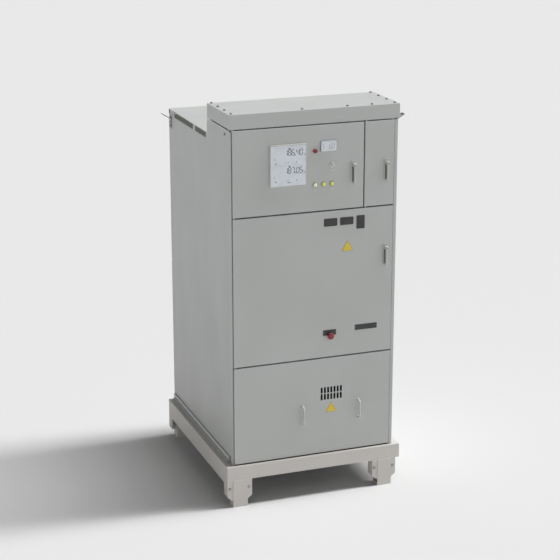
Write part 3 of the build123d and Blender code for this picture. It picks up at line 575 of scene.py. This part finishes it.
def dash(mesh, place, x, y, width, height, thick=0.00018):
    slab(mesh, (width, height), height * 0.3, ((0, 0), (0, thick)), place, (x, y))


def panel_frame(mesh, low, high, border, depth, place, size):
    """Bezel with a rounded lip and a sunk floor for its screen."""
    proud = high.y - low.y
    levels = ((0, 0), (0, proud - 0.0022), (0.0007, proud - 0.0007), (0.0022, proud),
              (border - 0.0012, proud), (border, proud - 0.0008), (border, proud - depth))
    slab(mesh, size, 0.0045, levels, place)


def make_meter():
    door_face = front_of("instrument_door")
    low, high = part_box("meter_case")
    screen_low, screen_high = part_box("meter_screen")
    front = Vector((high.x, door_face, high.z))
    size = (high.x - low.x, high.z - low.z)
    place = in_front(low, high, door_face)
    mesh = bmesh.new()
    panel_frame(mesh, low, front, screen_low.x - low.x, 0.0025, place, size)
    # case behind the door, with its terminal strips and two clamps
    inset = 0.008
    brick(mesh, (low.x + inset, door_face + 0.0005, low.z + inset),
          (high.x - inset, high.y - 0.012, high.z - inset), 0.002)
    for rise in (0.030, 0.150):
        brick(mesh, (low.x + 0.03, high.y - 0.0125, low.z + rise),
              (high.x - 0.03, high.y, low.z + rise + 0.032), 0.001)
    piece("meter_bezel", mesh, "instrument_door", "pale_plastic", ("meter_case",))

    screen = (screen_high.x - screen_low.x, screen_high.z - screen_low.z)
    glass = door_face - screen_low.y
    mesh = bmesh.new()
    slab(mesh, screen, 0.002, ((0, glass - 0.0012), (0, glass - 0.0003), (0.0004, glass)), place)
    piece("meter_display", mesh, "instrument_door", "lcd_glass", ("meter_screen",))

    # two rows of generic figures, each with its small marks
    mesh, faint = bmesh.new(), bmesh.new()
    ink = shifted(place, -screen[0] / 2, screen[1] / 2, glass)
    for top, value in ((-0.022, "186.40"), (-0.124, "187.05")):
        digits(mesh, value, shifted(ink, 0.082, top - 0.034), 0.033)
        dash(mesh, ink, 0.202, top - 0.034, 0.008, 0.0035)
        dash(mesh, ink, 0.196, top - 0.026, 0.0035, 0.0030)
        dash(mesh, ink, 0.110, top + 0.007, 0.016, 0.0032)
        dash(mesh, ink, 0.110, top + 0.002, 0.009, 0.0024)
        for x, y, width, height in ((0.022, -0.052, 0.006, 0.009), (0.029, -0.078, 0.013, 0.008),
                                    (0.090, -0.074, 0.004, 0.010), (0.103, -0.074, 0.004, 0.010),
                                    (0.152, -0.074, 0.007, 0.010)):
            dash(faint, ink, x, top + y, width, height)
        dash(faint, ink, 0.104, top + 0.012, 0.170, 0.0010)
    dash(mesh, ink, 0.108, -0.210, 0.020, 0.0036)
    piece("meter_figures", mesh, "instrument_door", "lcd_glass", material=lcd_ink)
    piece("meter_marks", faint, "instrument_door", "lcd_glass", material=faint_ink)


def make_display():
    door_face = front_of("instrument_door")
    low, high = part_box("panel_display")
    size = (high.x - low.x, high.z - low.z)
    place = in_front(low, high, door_face)
    proud = door_face - low.y
    mesh = bmesh.new()
    slab(mesh, size, 0.0045, ((0, 0), (0, proud - 0.0030), (0.0006, proud - 0.0024)), place)
    brick(mesh, (low.x + 0.004, door_face + 0.0005, low.z + 0.004), (high.x - 0.004, high.y, high.z - 0.004),
          0.0015)
    piece("display_case", mesh, "instrument_door", "pale_plastic", ("panel_display",), blue_case)
    mesh = bmesh.new()
    lip = (size[0] - 0.0012, size[1] - 0.0012)
    panel_frame(mesh, low, Vector((high.x, door_face, high.z)), 0.0040, 0.0015, place, lip)
    piece("display_bezel", mesh, "instrument_door", "pale_plastic")
    mesh = bmesh.new()
    level = proud - 0.0006
    slab(mesh, (size[0] - 0.010, size[1] - 0.010), 0.002, ((0, level - 0.0012), (0, level - 0.0002),
                                                           (0.0003, level)), place)
    piece("display_window", mesh, "instrument_door", "lcd_glass")
    mesh = bmesh.new()
    ink = shifted(place, -size[0] / 2, -size[1] / 2, level)
    digits(mesh, "60", shifted(ink, 0.052, 0.017), 0.027)
    for y in (0.022, 0.032, 0.042):
        dash(mesh, ink, 0.018, y, 0.010, 0.0026)
    piece("display_figures", mesh, "instrument_door", "lcd_glass", material=faint_ink)


def ring(mesh, outer, inner, proud, place, count=40):
    """Round bezel with a chamfered lip, open in the middle."""
    profile = ((outer, 0), (outer, proud - 0.0012), (outer - 0.0006, proud - 0.0003), (outer - 0.0014, proud),
               (inner + 0.0007, proud), (inner, proud - 0.0007), (inner, 0))
    turned(mesh, profile, place, count, True)


def panel_device(mesh, place, radius, depth):
    """What a 22 mm lamp or switch has behind the door: nut, body and two screw terminals."""
    back = place @ Matrix.Rotation(math.pi, 4, "Y") @ Matrix.Translation((0, 0, 0.0025))
    turned(mesh, ((radius - 0.0004, -0.0025), (radius - 0.0004, 0.012)), back, 28)
    loft(mesh, [at_height(hexagon(0.027), level) for level in (0.0005, 0.0045)], back)
    slab(mesh, (0.0185, 0.0185), 0.002, ((0.0006, 0.012), (0, 0.0126), (0, depth - 0.004),
                                         (0.0008, depth - 0.0032)), back)
    for side in (-1, 1):
        turned(mesh, ((0.0028, depth - 0.004), (0.0028, depth - 0.0026)), shifted(back, side * 0.005, 0), 14)


def make_lamps():
    face = front_of("instrument_door")
    bezels, bodies = bmesh.new(), bmesh.new()
    for number, (low, high) in enumerate(solids("indicator_lamps"), 1):
        place = in_front(low, high, face)
        ring(bezels, 0.0145, 0.0108, 0.0055, place)
        panel_device(bodies, place, 0.011, high.y - face)
        lens = bmesh.new()
        turned(lens, ((0.0106, 0.0004), (0.0107, 0.0066), (0.0103, 0.0084), (0.0092, 0.0098),
                      (0.0074, 0.0106), (0.0044, 0.0109), (0.0012, 0.011)), place, 36)
        shade = lamp_pale if number == 1 else finishes["lamp_plastic"]
        piece(f"lamp_lens_{number}", lens, "instrument_door", "lamp_plastic", material=shade)
    piece("lamp_bezels", bezels, "instrument_door", "lamp_plastic", ("indicator_lamps",), lamp_rim)
    piece("lamp_bodies", bodies, "instrument_door", "lamp_plastic", material=finishes["dark_plastic"])


def make_switches():
    """Push-button and key switch in their collars."""
    face = front_of("instrument_door")
    collars, bodies = bmesh.new(), bmesh.new()
    low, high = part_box("red_button")
    place = in_front(low, high, face)
    guard = bmesh.new()
    ring(guard, 0.0145, 0.0117, 0.005, place)
    piece("button_guard", guard, "instrument_door", "chrome", material=pink_guard)
    turned(collars, ((0.0118, 0.0), (0.0118, 0.0012), (0.0063, 0.0012), (0.0063, 0.0)), place, 40, True)
    panel_device(bodies, place, 0.011, 0.042)
    cap = bmesh.new()
    turned(cap, ((0.0059, -0.018), (0.0059, 0.0085), (0.0108, 0.0090), (0.0110, 0.0098), (0.0110, 0.0118),
                 (0.0104, 0.0127), (0.0092, 0.0130), (0.0060, 0.0124), (0.0015, 0.0121)), place, 40)
    piece("red_button_cap", cap, "red_button", "red_plastic", ("red_button",))

    low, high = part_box("key_switch")
    place = in_front(low, high, face)
    ring(collars, 0.0145, 0.0081, 0.005, place)
    panel_device(bodies, place, 0.011, 0.042)
    barrel = bmesh.new()
    turned(barrel, ((0.0079, -0.023), (0.0079, 0.0078), (0.0072, 0.0088), (0.0062, 0.009), (0.0058, 0.0083),
                    (0.0030, 0.0083)), place, 32)
    piece("key_barrel", barrel, "key_switch", "chrome", ("key_switch",))
    slot = bmesh.new()
    slab(slot, (0.0022, 0.0090), 0.0007, ((0, 0.007), (0, 0.00845)), place)
    piece("key_slot", slot, "key_switch", "chrome", material=finishes["dark_plastic"])
    piece("switch_rings", collars, "instrument_door", "chrome", ("switch_collars",))
    piece("switch_bodies", bodies, "instrument_door", "chrome", material=finishes["dark_plastic"])


def make_labels():
    """Small blank label strips under the lamps and switches."""
    face = front_of("instrument_door")
    mesh = bmesh.new()
    boxes = solids("indicator_lamps") + [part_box("red_button"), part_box("key_switch")]
    for low, high in boxes:
        place = facing(((low.x + high.x) / 2, face, (low.z + high.z) / 2 - 0.034), "front")
        slab(mesh, (0.024, 0.0075), 0.001, ((0, 0), (0, 0.0004), (0.0003, 0.0007)), place)
    piece("label_strips", mesh, "instrument_door", "pale_plastic", material=label_white)


# ---- Breaker door and cable cover ----
def make_windows():
    face = front_of("breaker_door")
    frames, panes = bmesh.new(), bmesh.new()
    for low, high in solids("breaker_windows"):
        size = (high.x - low.x, high.z - low.z)
        place = in_front(low, high, face)
        proud, border = face - low.y, 0.0055
        rings = []
        for inset, level in ((0, 0), (0, proud - 0.0007), (0.0006, proud - 0.0001), (0.0014, proud),
                             (border - 0.0008, proud), (border, proud - 0.0006), (border, 0)):
            outline = rounded_rect(size[0] - 2 * inset, size[1] - 2 * inset, 0.006 - inset * 0.5)
            rings.append(at_height(outline, level))
        loft(frames, rings, place, True)
        inner = (size[0] - 2 * border, size[1] - 2 * border)
        slab(panes, inner, 0.003, ((0, -0.0024), (0, proud - 0.0011), (0.0004, proud - 0.0009)), place)
    piece("window_gaskets", frames, "breaker_door", "dark_plastic", ("breaker_windows",))
    piece("window_panes", panes, "breaker_door", "window_glass")


def make_signs():
    """Plain yellow warning triangles and blank dark name plates."""
    for name, body, x, z in (("breaker", "breaker_door", 0.199, 1.505),
                             ("cover", "cable_cover", 0.107, 0.530)):
        face = front_of(body)
        place = facing((x, face, z), "front")
        back, front = bmesh.new(), bmesh.new()
        for mesh, side, low, high in ((back, 0.0715, 0, 0.0006), (front, 0.0680, 0.0004, 0.0010)):
            outline, inner = rounded_triangle(side, 0.004), rounded_triangle(side - 0.0008, 0.0038)
            rings = [at_height(outline, low), at_height(outline, high - 0.0002), at_height(inner, high)]
            loft(mesh, rings, place)
        piece(f"{name}_sign_rim", back, body, "dark_plastic")
        piece(f"{name}_sign", front, body, "pale_plastic", material=sign_yellow)
    face = front_of("breaker_door")
    plates, rivets = bmesh.new(), bmesh.new()
    for left, right, low, high in ((0.052, 0.133, 0.985, 1.019), (0.251, 0.390, 0.998, 1.031)):
        place = facing(((left + right) / 2, face, (low + high) / 2), "front")
        slab(plates, (right - left, high - low), 0.002, ((0, 0), (0, 0.0009), (0.0003, 0.0012)), place)
        for side in (-1, 1):
            spot = shifted(place, side * ((right - left) / 2 - 0.005), 0)
            turned(rivets, ((0.0019, 0.0010), (0.0019, 0.0014), (0.0013, 0.0018), (0.0004, 0.0020)), spot, 16)
    piece("name_plates", plates, "breaker_door", "dark_plastic")
    piece("plate_rivets", rivets, "breaker_door", "zinc_steel")


def make_trip_button():
    face = front_of("breaker_door")
    low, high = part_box("trip_button")
    place = in_front(low, high, face)
    mesh = bmesh.new()
    ring(mesh, 0.015, 0.0071, 0.006, place)
    panel_device(mesh, place, 0.0108, 0.030)
    piece("trip_ring", mesh, "breaker_door", "dark_plastic", ("trip_collar",))
    mesh = bmesh.new()
    turned(mesh, ((0.0069, -0.025), (0.0069, 0.0140), (0.0150, 0.0142), (0.0190, 0.0155), (0.0200, 0.0172),
                  (0.0198, 0.0190), (0.0186, 0.0212), (0.0160, 0.0232), (0.0120, 0.0245), (0.0070, 0.0250),
                  (0.0015, 0.0250)), place, 48)
    piece("trip_mushroom", mesh, "trip_button", "red_plastic", ("trip_button",))


def make_bow_handles():
    """Round-bar handles with turned feet."""
    face = front_of("cable_cover")
    mesh = bmesh.new()
    for low, high in solids("cover_handles"):
        radius = (high.x - low.x) / 2
        half = (high.z - low.z) / 2 - radius
        reach = face - low.y - radius
        bend = 0.014
        path = [(-half, 0.0)] + arc((-half + bend, reach - bend), bend, 180, 90)
        path += arc((half - bend, reach - bend), bend, 90, 0) + [(half, 0.0)]
        place = in_front(low, high, face)
        tube(mesh, path, radius, place, 20)
        for end in (-1, 1):
            spot = shifted(place, 0, end * half)
            turned(mesh, ((0.0105, 0), (0.0105, 0.0012), (0.0095, 0.0022), (0.0072, 0.0030), (0.0062, 0.0050),
                          (0.0060, 0.0060)), spot, 28)
            turned(mesh, ((0.0039, -0.012), (0.0039, 0.001)), spot, 16)
            loft(mesh, [at_height(hexagon(0.010), level) for level in (-0.0075, -0.0027)], spot)
    piece("bow_handles", mesh, "cable_cover", "handle_metal", ("cover_handles",))


def make_stiffeners():
    """Folded hat sections spot-welded inside the large doors."""
    for body, columns, margin in (("breaker_door", (-0.30, -0.08), 0.05),
                                  ("cable_cover", (-0.26, 0.40), 0.05),
                                  ("instrument_door", (-0.38,), 0.04)):
        low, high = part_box(body)
        mesh = bmesh.new()
        wall = low.y + 0.0026
        for x in columns:
            outline = [(-0.034, 0), (-0.034, 0.0016), (-0.021, 0.0016), (-0.017, 0.013), (0.017, 0.013),
                       (0.021, 0.0016), (0.034, 0.0016), (0.034, 0)]
            rings = [[(x + across, wall + deep, height) for across, deep in outline]
                     for height in (low.z + margin, high.z - margin)]
            loft(mesh, rings, Matrix.Identity(4))
        piece(body + "_stiffeners", mesh, body, "body_paint")


# ---- Rear covers, floor, inside ----
def make_louvres():
    """Pressed hoods over the ventilation slots of both rear covers."""
    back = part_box("rear_lower_cover")[1].y
    mesh = bmesh.new()
    rows, pitch, half, height = 8, 0.032, 0.094, 0.017
    section = ((0.0, 0.0), (-0.0006, 0.0012), (-0.0016, 0.0028), (-0.0040, 0.0036), (-0.0080, 0.0032),
               (-0.0130, 0.0016), (-height, 0.0002), (-height, 0.0))
    for top in (0.620, 1.960):
        for row in range(rows):
            for x in (-0.170, 0.170):
                place = facing((x, back, top - row * pitch + 0.010), "back")
                rings = []
                for along, swell in ((-1.0, 0.15), (-0.985, 0.55), (-0.96, 0.85), (-0.92, 1.0),
                                     (0.92, 1.0), (0.96, 0.85), (0.985, 0.55), (1.0, 0.15)):
                    rings.append([(along * half, -height - drop * (0.9 + 0.1 * swell), out * swell)
                                  for drop, out in section])
                loft(mesh, rings, place)
    piece("rear_louvre_hoods", mesh, "cabinet", "body_paint", crease=50)


def make_step_skin():
    """Painted outer skin on the wall that rises behind the rear roof."""
    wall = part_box("instrument_liner")[1]
    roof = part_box("rear_roof_plate")[1]
    mesh = bmesh.new()
    brick(mesh, (-0.4972, wall.y + 0.0001, roof.z + 0.0005), (0.4972, wall.y + 0.0013, wall.z - 0.0005),
          0.0004)
    piece("step_wall_skin", mesh, "cabinet", "body_paint")


def make_base_shade_strips():
    """Dark strips that paint shade: a foam strip under the pull-off cover that also darkens the gap there as
    painted shade, and a dark sheet below the floor plate that paints the shadow under the base.
    """
    cover_low, cover_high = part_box("cable_cover")
    plate_low, plate_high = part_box("floor_plate")
    # foam strip in the gap under the cover, kept black to paint the shade of that gap
    mesh = bmesh.new()
    brick(mesh, (cover_low.x + 0.004, cover_low.y + 0.003, plate_low.z),
          (cover_high.x - 0.004, plate_low.y - 0.0005, plate_low.z + 0.0022), 0.0006)
    piece("plinth_shade_strip", mesh, "cabinet", "rubber")
    # dark sheet under the floor plate: painted shadow under the base
    mesh = bmesh.new()
    brick(mesh, (plate_low.x + 0.050, plate_low.y + 0.060, plate_low.z - 0.0018),
          (plate_high.x - 0.050, plate_low.y + 0.860, plate_low.z - 0.0001), 0.0006)
    piece("floor_underside_shade", mesh, "cabinet", "rubber")


def make_grommets():
    """Stepped rubber grommets with a thin lip round the cable hole."""
    mesh = bmesh.new()
    for low, high in solids("cable_grommets"):
        place = standing(low, high)
        top = high.z - low.z
        outer = (high.x - low.x) / 2
        profile = ((0.0445, 0), (0.0445, 0.0041), (outer, 0.0041), (outer, top - 0.003),
                   (outer - 0.002, top - 0.0012), (0.046, top - 0.0012), (0.044, top), (0.038, top),
                   (0.036, top - 0.002), (0.032, top - 0.002), (0.0305, top - 0.003), (0.0303, top - 0.009),
                   (0.032, 0))
        turned(mesh, profile, place, 48, True)
    piece("cable_grommet_rings", mesh, "cabinet", "rubber", ("cable_grommets",))


def make_terminals():
    """Terminal rows and relays on their rails in the instrument compartment."""
    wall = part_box("instrument_liner")[1].y - 0.003
    rails, blocks, screws, relays = bmesh.new(), bmesh.new(), bmesh.new(), bmesh.new()
    left, right = -0.44, 0.24
    terminal_row, relay_row = 1.86, 2.06
    for z in (terminal_row, relay_row):
        brick(rails, (left, wall - 0.0075, z - 0.0135), (right, wall - 0.0003, z + 0.0135), 0.0008)
        for edge in (-1, 1):
            brick(rails, (left, wall - 0.0085, z + edge * 0.0155 - 0.0020),
                  (right, wall - 0.0073, z + edge * 0.0155 + 0.0020), 0.0003)
    pitch = 0.0082
    for step in range(64):
        x = left + 0.04 + step * pitch
        brick(blocks, (x, wall - 0.050, terminal_row - 0.023),
              (x + pitch - 0.0006, wall - 0.009, terminal_row + 0.023), 0.0006)
        for edge in (-1, 1):
            spot = facing((x + pitch / 2, wall - 0.0500, terminal_row + edge * 0.015), "front")
            turned(screws, ((0.0024, -0.0004), (0.0024, 0.0003), (0.0018, 0.0006)), spot, 12)
    for step in range(6):
        x = left + 0.05 + step * 0.062
        brick(relays, (x, wall - 0.072, relay_row - 0.040), (x + 0.046, wall - 0.009, relay_row + 0.040),
              0.002)
        brick(relays, (x + 0.008, wall - 0.078, relay_row - 0.010),
              (x + 0.038, wall - 0.071, relay_row + 0.022), 0.0015)
        for across in (0.012, 0.034):
            for edge in (-1, 1):
                spot = facing((x + across, wall - 0.0722, relay_row + edge * 0.032), "front")
                turned(screws, ((0.0034, -0.0006), (0.0034, 0.0006), (0.0026, 0.0010)), spot, 14)
    piece("terminal_rails", rails, "cabinet", "galvanised")
    piece("terminal_blocks", blocks, "cabinet", "pale_plastic", material=terminal_beige)
    piece("terminal_screws", screws, "cabinet", "zinc_steel")
    piece("plug_in_relays", relays, "cabinet", "dark_plastic", material=relay_grey)


def make_busbar_bolts():
    """Bolted joints of the busbars and the current transformers' terminals."""
    mesh = bmesh.new()
    terminal_top, riser_back = 0.698, 0.208
    transformers = solids("current_transformers")
    for low, high in transformers:
        middle = (low.x + high.x) / 2
        for across in (-0.013, 0.013):
            for inset in (0.020, 0.055):
                hex_bolt(mesh, facing((middle + across, high.y - inset, terminal_top), "up"), 0.016, 0.008)
    for (low, high), height in zip(transformers, (1.560, 1.630, 1.700)):
        for across in (-0.012, 0.012):
            hex_bolt(mesh, facing(((low.x + high.x) / 2 + across, riser_back, height), "back"), 0.016, 0.008)
    piece("busbar_joint_bolts", mesh, "cabinet", "zinc_steel")


def make_earth_switch():
    """Shaft with collars, and a pair of blades for each phase."""
    low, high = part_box("earth_switch")
    joint = next(joint for joint in frame["joints"] if joint["name"] == "earth_switch_throw")
    y, z = joint["pos_m"][1], joint["pos_m"][2]
    shaft, blades = bmesh.new(), bmesh.new()
    place = facing((low.x, y, z), "right")
    turned(shaft, ((0.0112, 0), (0.012, 0.0008), (0.012, high.x - low.x - 0.0008), (0.0112, high.x - low.x)),
           place, 32)
    for phase in ((low_c.x + high_c.x) / 2 for low_c, high_c in solids("current_transformers")):
        for side in (-1, 1):
            x = phase + side * 0.029
            spot = facing((x - 0.002, y, z), "right")
            outline = arc((0, 0), 0.015, 0, 180, 12)
            tip = z - low.z
            outline += [(-0.015, -tip + 0.006), (-0.009, -tip), (0.009, -tip), (0.015, -tip + 0.006)]
            loft(blades, [at_height(outline, level) for level in (0.0, 0.0006, 0.0034, 0.004)], spot)
            turned(shaft, ((0.0165, -0.006), (0.0175, -0.005), (0.0175, -0.001), (0.0165, -0.0002)), spot, 32)
    piece("earth_shaft", shaft, "earth_switch", "zinc_steel", ("earth_switch",))
    piece("earth_blades", blades, "earth_switch", "copper")


# ---- Breaker truck ----
def make_poles():
    """Cast-resin poles with rounded sheds."""
    mesh = bmesh.new()
    for low, high in solids("breaker_poles"):
        place = standing(low, high)
        shed, body = (high.x - low.x) / 2, (high.x - low.x) / 2 - 0.009
        top = high.z - low.z
        foot = 0.079
        profile = [(0.034, 0), (0.036, 0.003), (0.036, foot - 0.010), (0.042, foot - 0.002),
                   (body - 0.006, foot), (body, foot + 0.006)]
        for rib in range(5):
            start = 0.299 + rib * 0.032
            profile += [(body, start - 0.004), (body + 0.002, start - 0.001), (shed - 0.001, start + 0.002),
                        (shed, start + 0.005), (shed - 0.001, start + 0.008), (body + 0.002, start + 0.012),
                        (body, start + 0.015)]
        profile += [(body, top - 0.012), (body - 0.004, top - 0.003), (body - 0.012, top), (0.028, top),
                    (0.026, top - 0.006), (0.010, top - 0.006)]
        turned(mesh, profile, place, 48)
    piece("pole_housings", mesh, "breaker_truck", "epoxy", ("breaker_poles",))


def make_arms():
    """Contact arms, each with a tulip of sprung fingers."""
    fingers = 18
    mesh, springs = bmesh.new(), bmesh.new()
    for low, high in solids("contact_arms"):
        x, z = (low.x + high.x) / 2, (low.z + high.z) / 2
        place = facing((x, low.y, z), "back")
        length = high.y - low.y
        start = length - 0.056
        turned(mesh, ((0.018, 0), (0.018, start - 0.006), (0.024, start), (0.0265, start + 0.002),
                      (0.0265, start + 0.008)), place, 40)
        profile = ((start + 0.002, 0.0270, 0.0345), (start + 0.008, 0.0262, 0.0375),
                   (start + 0.022, 0.0240, 0.0360), (start + 0.040, 0.0214, 0.0350),
                   (length - 0.008, 0.0208, 0.0378), (length - 0.003, 0.0222, 0.0378),
                   (length, 0.0250, 0.0360))
        for finger in range(fingers):
            turn = 2 * math.pi * finger / fingers
            half = math.pi / fingers * 0.80
            rings = []
            for level, inner, outer in profile:
                corners = ((inner, -half), (outer, -half), (outer, half), (inner, half))
                rings.append([(r * math.cos(turn + off), r * math.sin(turn + off), level)
                              for r, off in corners])
            loft(mesh, rings, place)
        for level, reach in ((start + 0.021, 0.0362), (start + 0.041, 0.0354)):
            coil = [(reach + across, level + along) for across, along in circle(0.0016, 8)]
            turned(springs, coil, place, 48, True)
    piece("contact_tulips", mesh, "breaker_truck", "copper", ("contact_arms",))
    piece("tulip_springs", springs, "breaker_truck", "zinc_steel")


def make_truck_front():
    """Push-buttons, indicator windows, counter, pull handles and screws on the mechanism cover."""
    face, button_row = -0.330, 1.480
    for name, x, material, slot in (("close", -0.120, green_plastic, "dark_plastic"),
                                    ("open", -0.040, None, "red_plastic")):
        mesh = bmesh.new()
        spot = facing((x, face, button_row), "front")
        turned(mesh, ((0.0142, 0.0010), (0.0143, 0.0078), (0.0138, 0.0088), (0.0124, 0.0092),
                      (0.0060, 0.0088), (0.0010, 0.0087)), spot, 36)
        piece(f"truck_{name}_button", mesh, "breaker_truck", slot, material=material)
    dark, pale, trim = bmesh.new(), bmesh.new(), bmesh.new()
    window = facing((0.065, face, button_row), "front")
    slab(dark, (0.082, 0.072), 0.003, ((0, 0.0035), (0, 0.0044), (0.0005, 0.0048)), window)
    for up in (0.018, -0.016):
        slab(pale, (0.046, 0.016), 0.001, ((0, 0.0044), (0, 0.0052)), window, (0.010, up))
    plate = facing((0.0, face, 1.250), "front")
    slab(pale, (0.150, 0.090), 0.003, ((0, 0), (0, 0.0007), (0.0003, 0.0010)), plate)
    for across in (-0.069, 0.069):
        for up in (-0.039, 0.039):
            rivet = shifted(plate, across, up)
            turned(trim, ((0.0024, 0.0008), (0.0024, 0.0013), (0.0012, 0.0019)), rivet, 16)
    for x in (-0.255, 0.255):
        for z in (0.945, 1.150, 1.350, 1.530):
            button_screw(trim, facing((x, face, z), "front"))
    socket = facing((0, face, 1.000), "front")
    ring(trim, 0.0185, 0.0091, 0.0068, socket)
    for x in (-0.19, 0.19):
        grip = facing((x, face, 1.10), "front")
        path = [(-0.05, 0.0)] + arc((-0.038, 0.022), 0.012, 180, 90)
        path += arc((0.038, 0.022), 0.012, 90, 0) + [(0.05, 0.0)]
        tube(trim, path, 0.005, grip, 16)
        for end in (-1, 1):
            turned(trim, ((0.009, 0), (0.009, 0.0012), (0.0062, 0.003)), shifted(grip, 0, end * 0.05), 24)
    figures = bmesh.new()
    digits(figures, "0327", shifted(window, -0.008, -0.0205, 0.0052), 0.0095, 0.00012, 0.0)
    piece("truck_counter_panel", dark, "breaker_truck", "dark_plastic")
    piece("truck_plates", pale, "breaker_truck", "pale_plastic", material=label_white)
    piece("truck_fittings", trim, "breaker_truck", "zinc_steel")
    piece("truck_counter_figures", figures, "breaker_truck", "dark_plastic", material=lcd_ink)


# ---- Floor, light, camera ----
def make_floor():
    half = 150.0
    data = bpy.data.meshes.new("studio_floor")
    corners = [(-half, -half, 0), (half, -half, 0), (half, half, 0), (-half, half, 0)]
    data.from_pydata(corners, [], [(0, 1, 2, 3)])
    pale = Surface("studio_floor", Roughness=0.9, Specular_IOR_Level=0.0, Base_Color=(0.72, 0.72, 0.72, 1))
    data.materials.append(pale.material)
    floor = linked("studio_floor", data)


def sun(name, strength, angle, towards):
    """Soft directional light that travels along a vector."""
    lamp = bpy.data.lights.new(name, "SUN")
    lamp.energy = strength
    lamp.angle = math.radians(angle)
    linked(name, lamp).rotation_euler = Vector(towards).to_track_quat("-Z", "Y").to_euler()


def make_light():
    """Strip light that arches from the right to overhead, and a sky that is bright at the horizon."""
    for elevation, strength in ((86, 0.28), (80, 0.37), (73, 0.42), (66, 0.435), (57, 0.565), (48, 0.64),
                                (38, 0.83)):
        high = math.radians(elevation)
        sun(f"strip_{elevation}", strength, 10, (-math.cos(high), 0.07 * math.cos(high), -math.sin(high)))

    world = bpy.data.worlds.new("studio")
    bpy.context.scene.world = world
    world.use_nodes = True
    sky = Nodes(world.node_tree, "Generated")

    def combined(operation, first, second):
        node = sky.tree.nodes.new("ShaderNodeMath")
        node.operation = operation
        sky.feed(node.inputs[0], first)
        sky.feed(node.inputs[1], second)
        return node.outputs["Value"]

    # darker on the left than on the right, except in the band at the horizon that meets the floor
    above = sky.remap(sky.axis("Z"), 0.04, 0.12, 0.0, 1.0)
    tilt = combined("MULTIPLY", sky.remap(sky.axis("X"), -1.0, 1.0, -0.34, 0.16), above)
    fall = sky.remap(sky.axis("Z"), 0.14, 0.50, 0.84, 0.15)
    background = sky.tree.nodes["Background"]
    sky.feed(background.inputs["Strength"], combined("MULTIPLY", fall, combined("ADD", tilt, 1.0)))
    background.inputs["Color"].default_value = (1, 1, 1, 1)


def make_camera():
    """Camera on a sphere about the cubicle's middle."""
    azimuth, elevation = math.radians(-20.26), math.radians(16.87)
    distance, aim = 9.902, Vector((0, 0, 1.165))
    away = Vector((math.sin(azimuth) * math.cos(elevation), -math.cos(azimuth) * math.cos(elevation),
                   math.sin(elevation)))
    data = bpy.data.cameras.new("camera")
    data.lens = 104.9
    data.sensor_width = 36
    data.clip_end = 1000
    camera = linked("camera", data)
    camera.location = aim + away * distance
    camera.rotation_euler = (-away).to_track_quat("-Z", "Y").to_euler()
    bpy.context.scene.camera = camera
    bpy.context.scene.view_settings.view_transform = "Standard"


finish_cad_nodes()
make_screws()
make_bolts()
for name in ("instrument", "narrow", "breaker"):
    make_handle(name, name + "_door")
for make in (make_meter, make_display, make_labels, make_lamps, make_switches, make_windows, make_signs,
             make_trip_button, make_bow_handles, make_stiffeners, make_louvres, make_step_skin,
             make_base_shade_strips, make_grommets, make_terminals, make_busbar_bolts, make_earth_switch,
             make_poles, make_arms, make_truck_front, make_floor, make_light, make_camera):
    make()
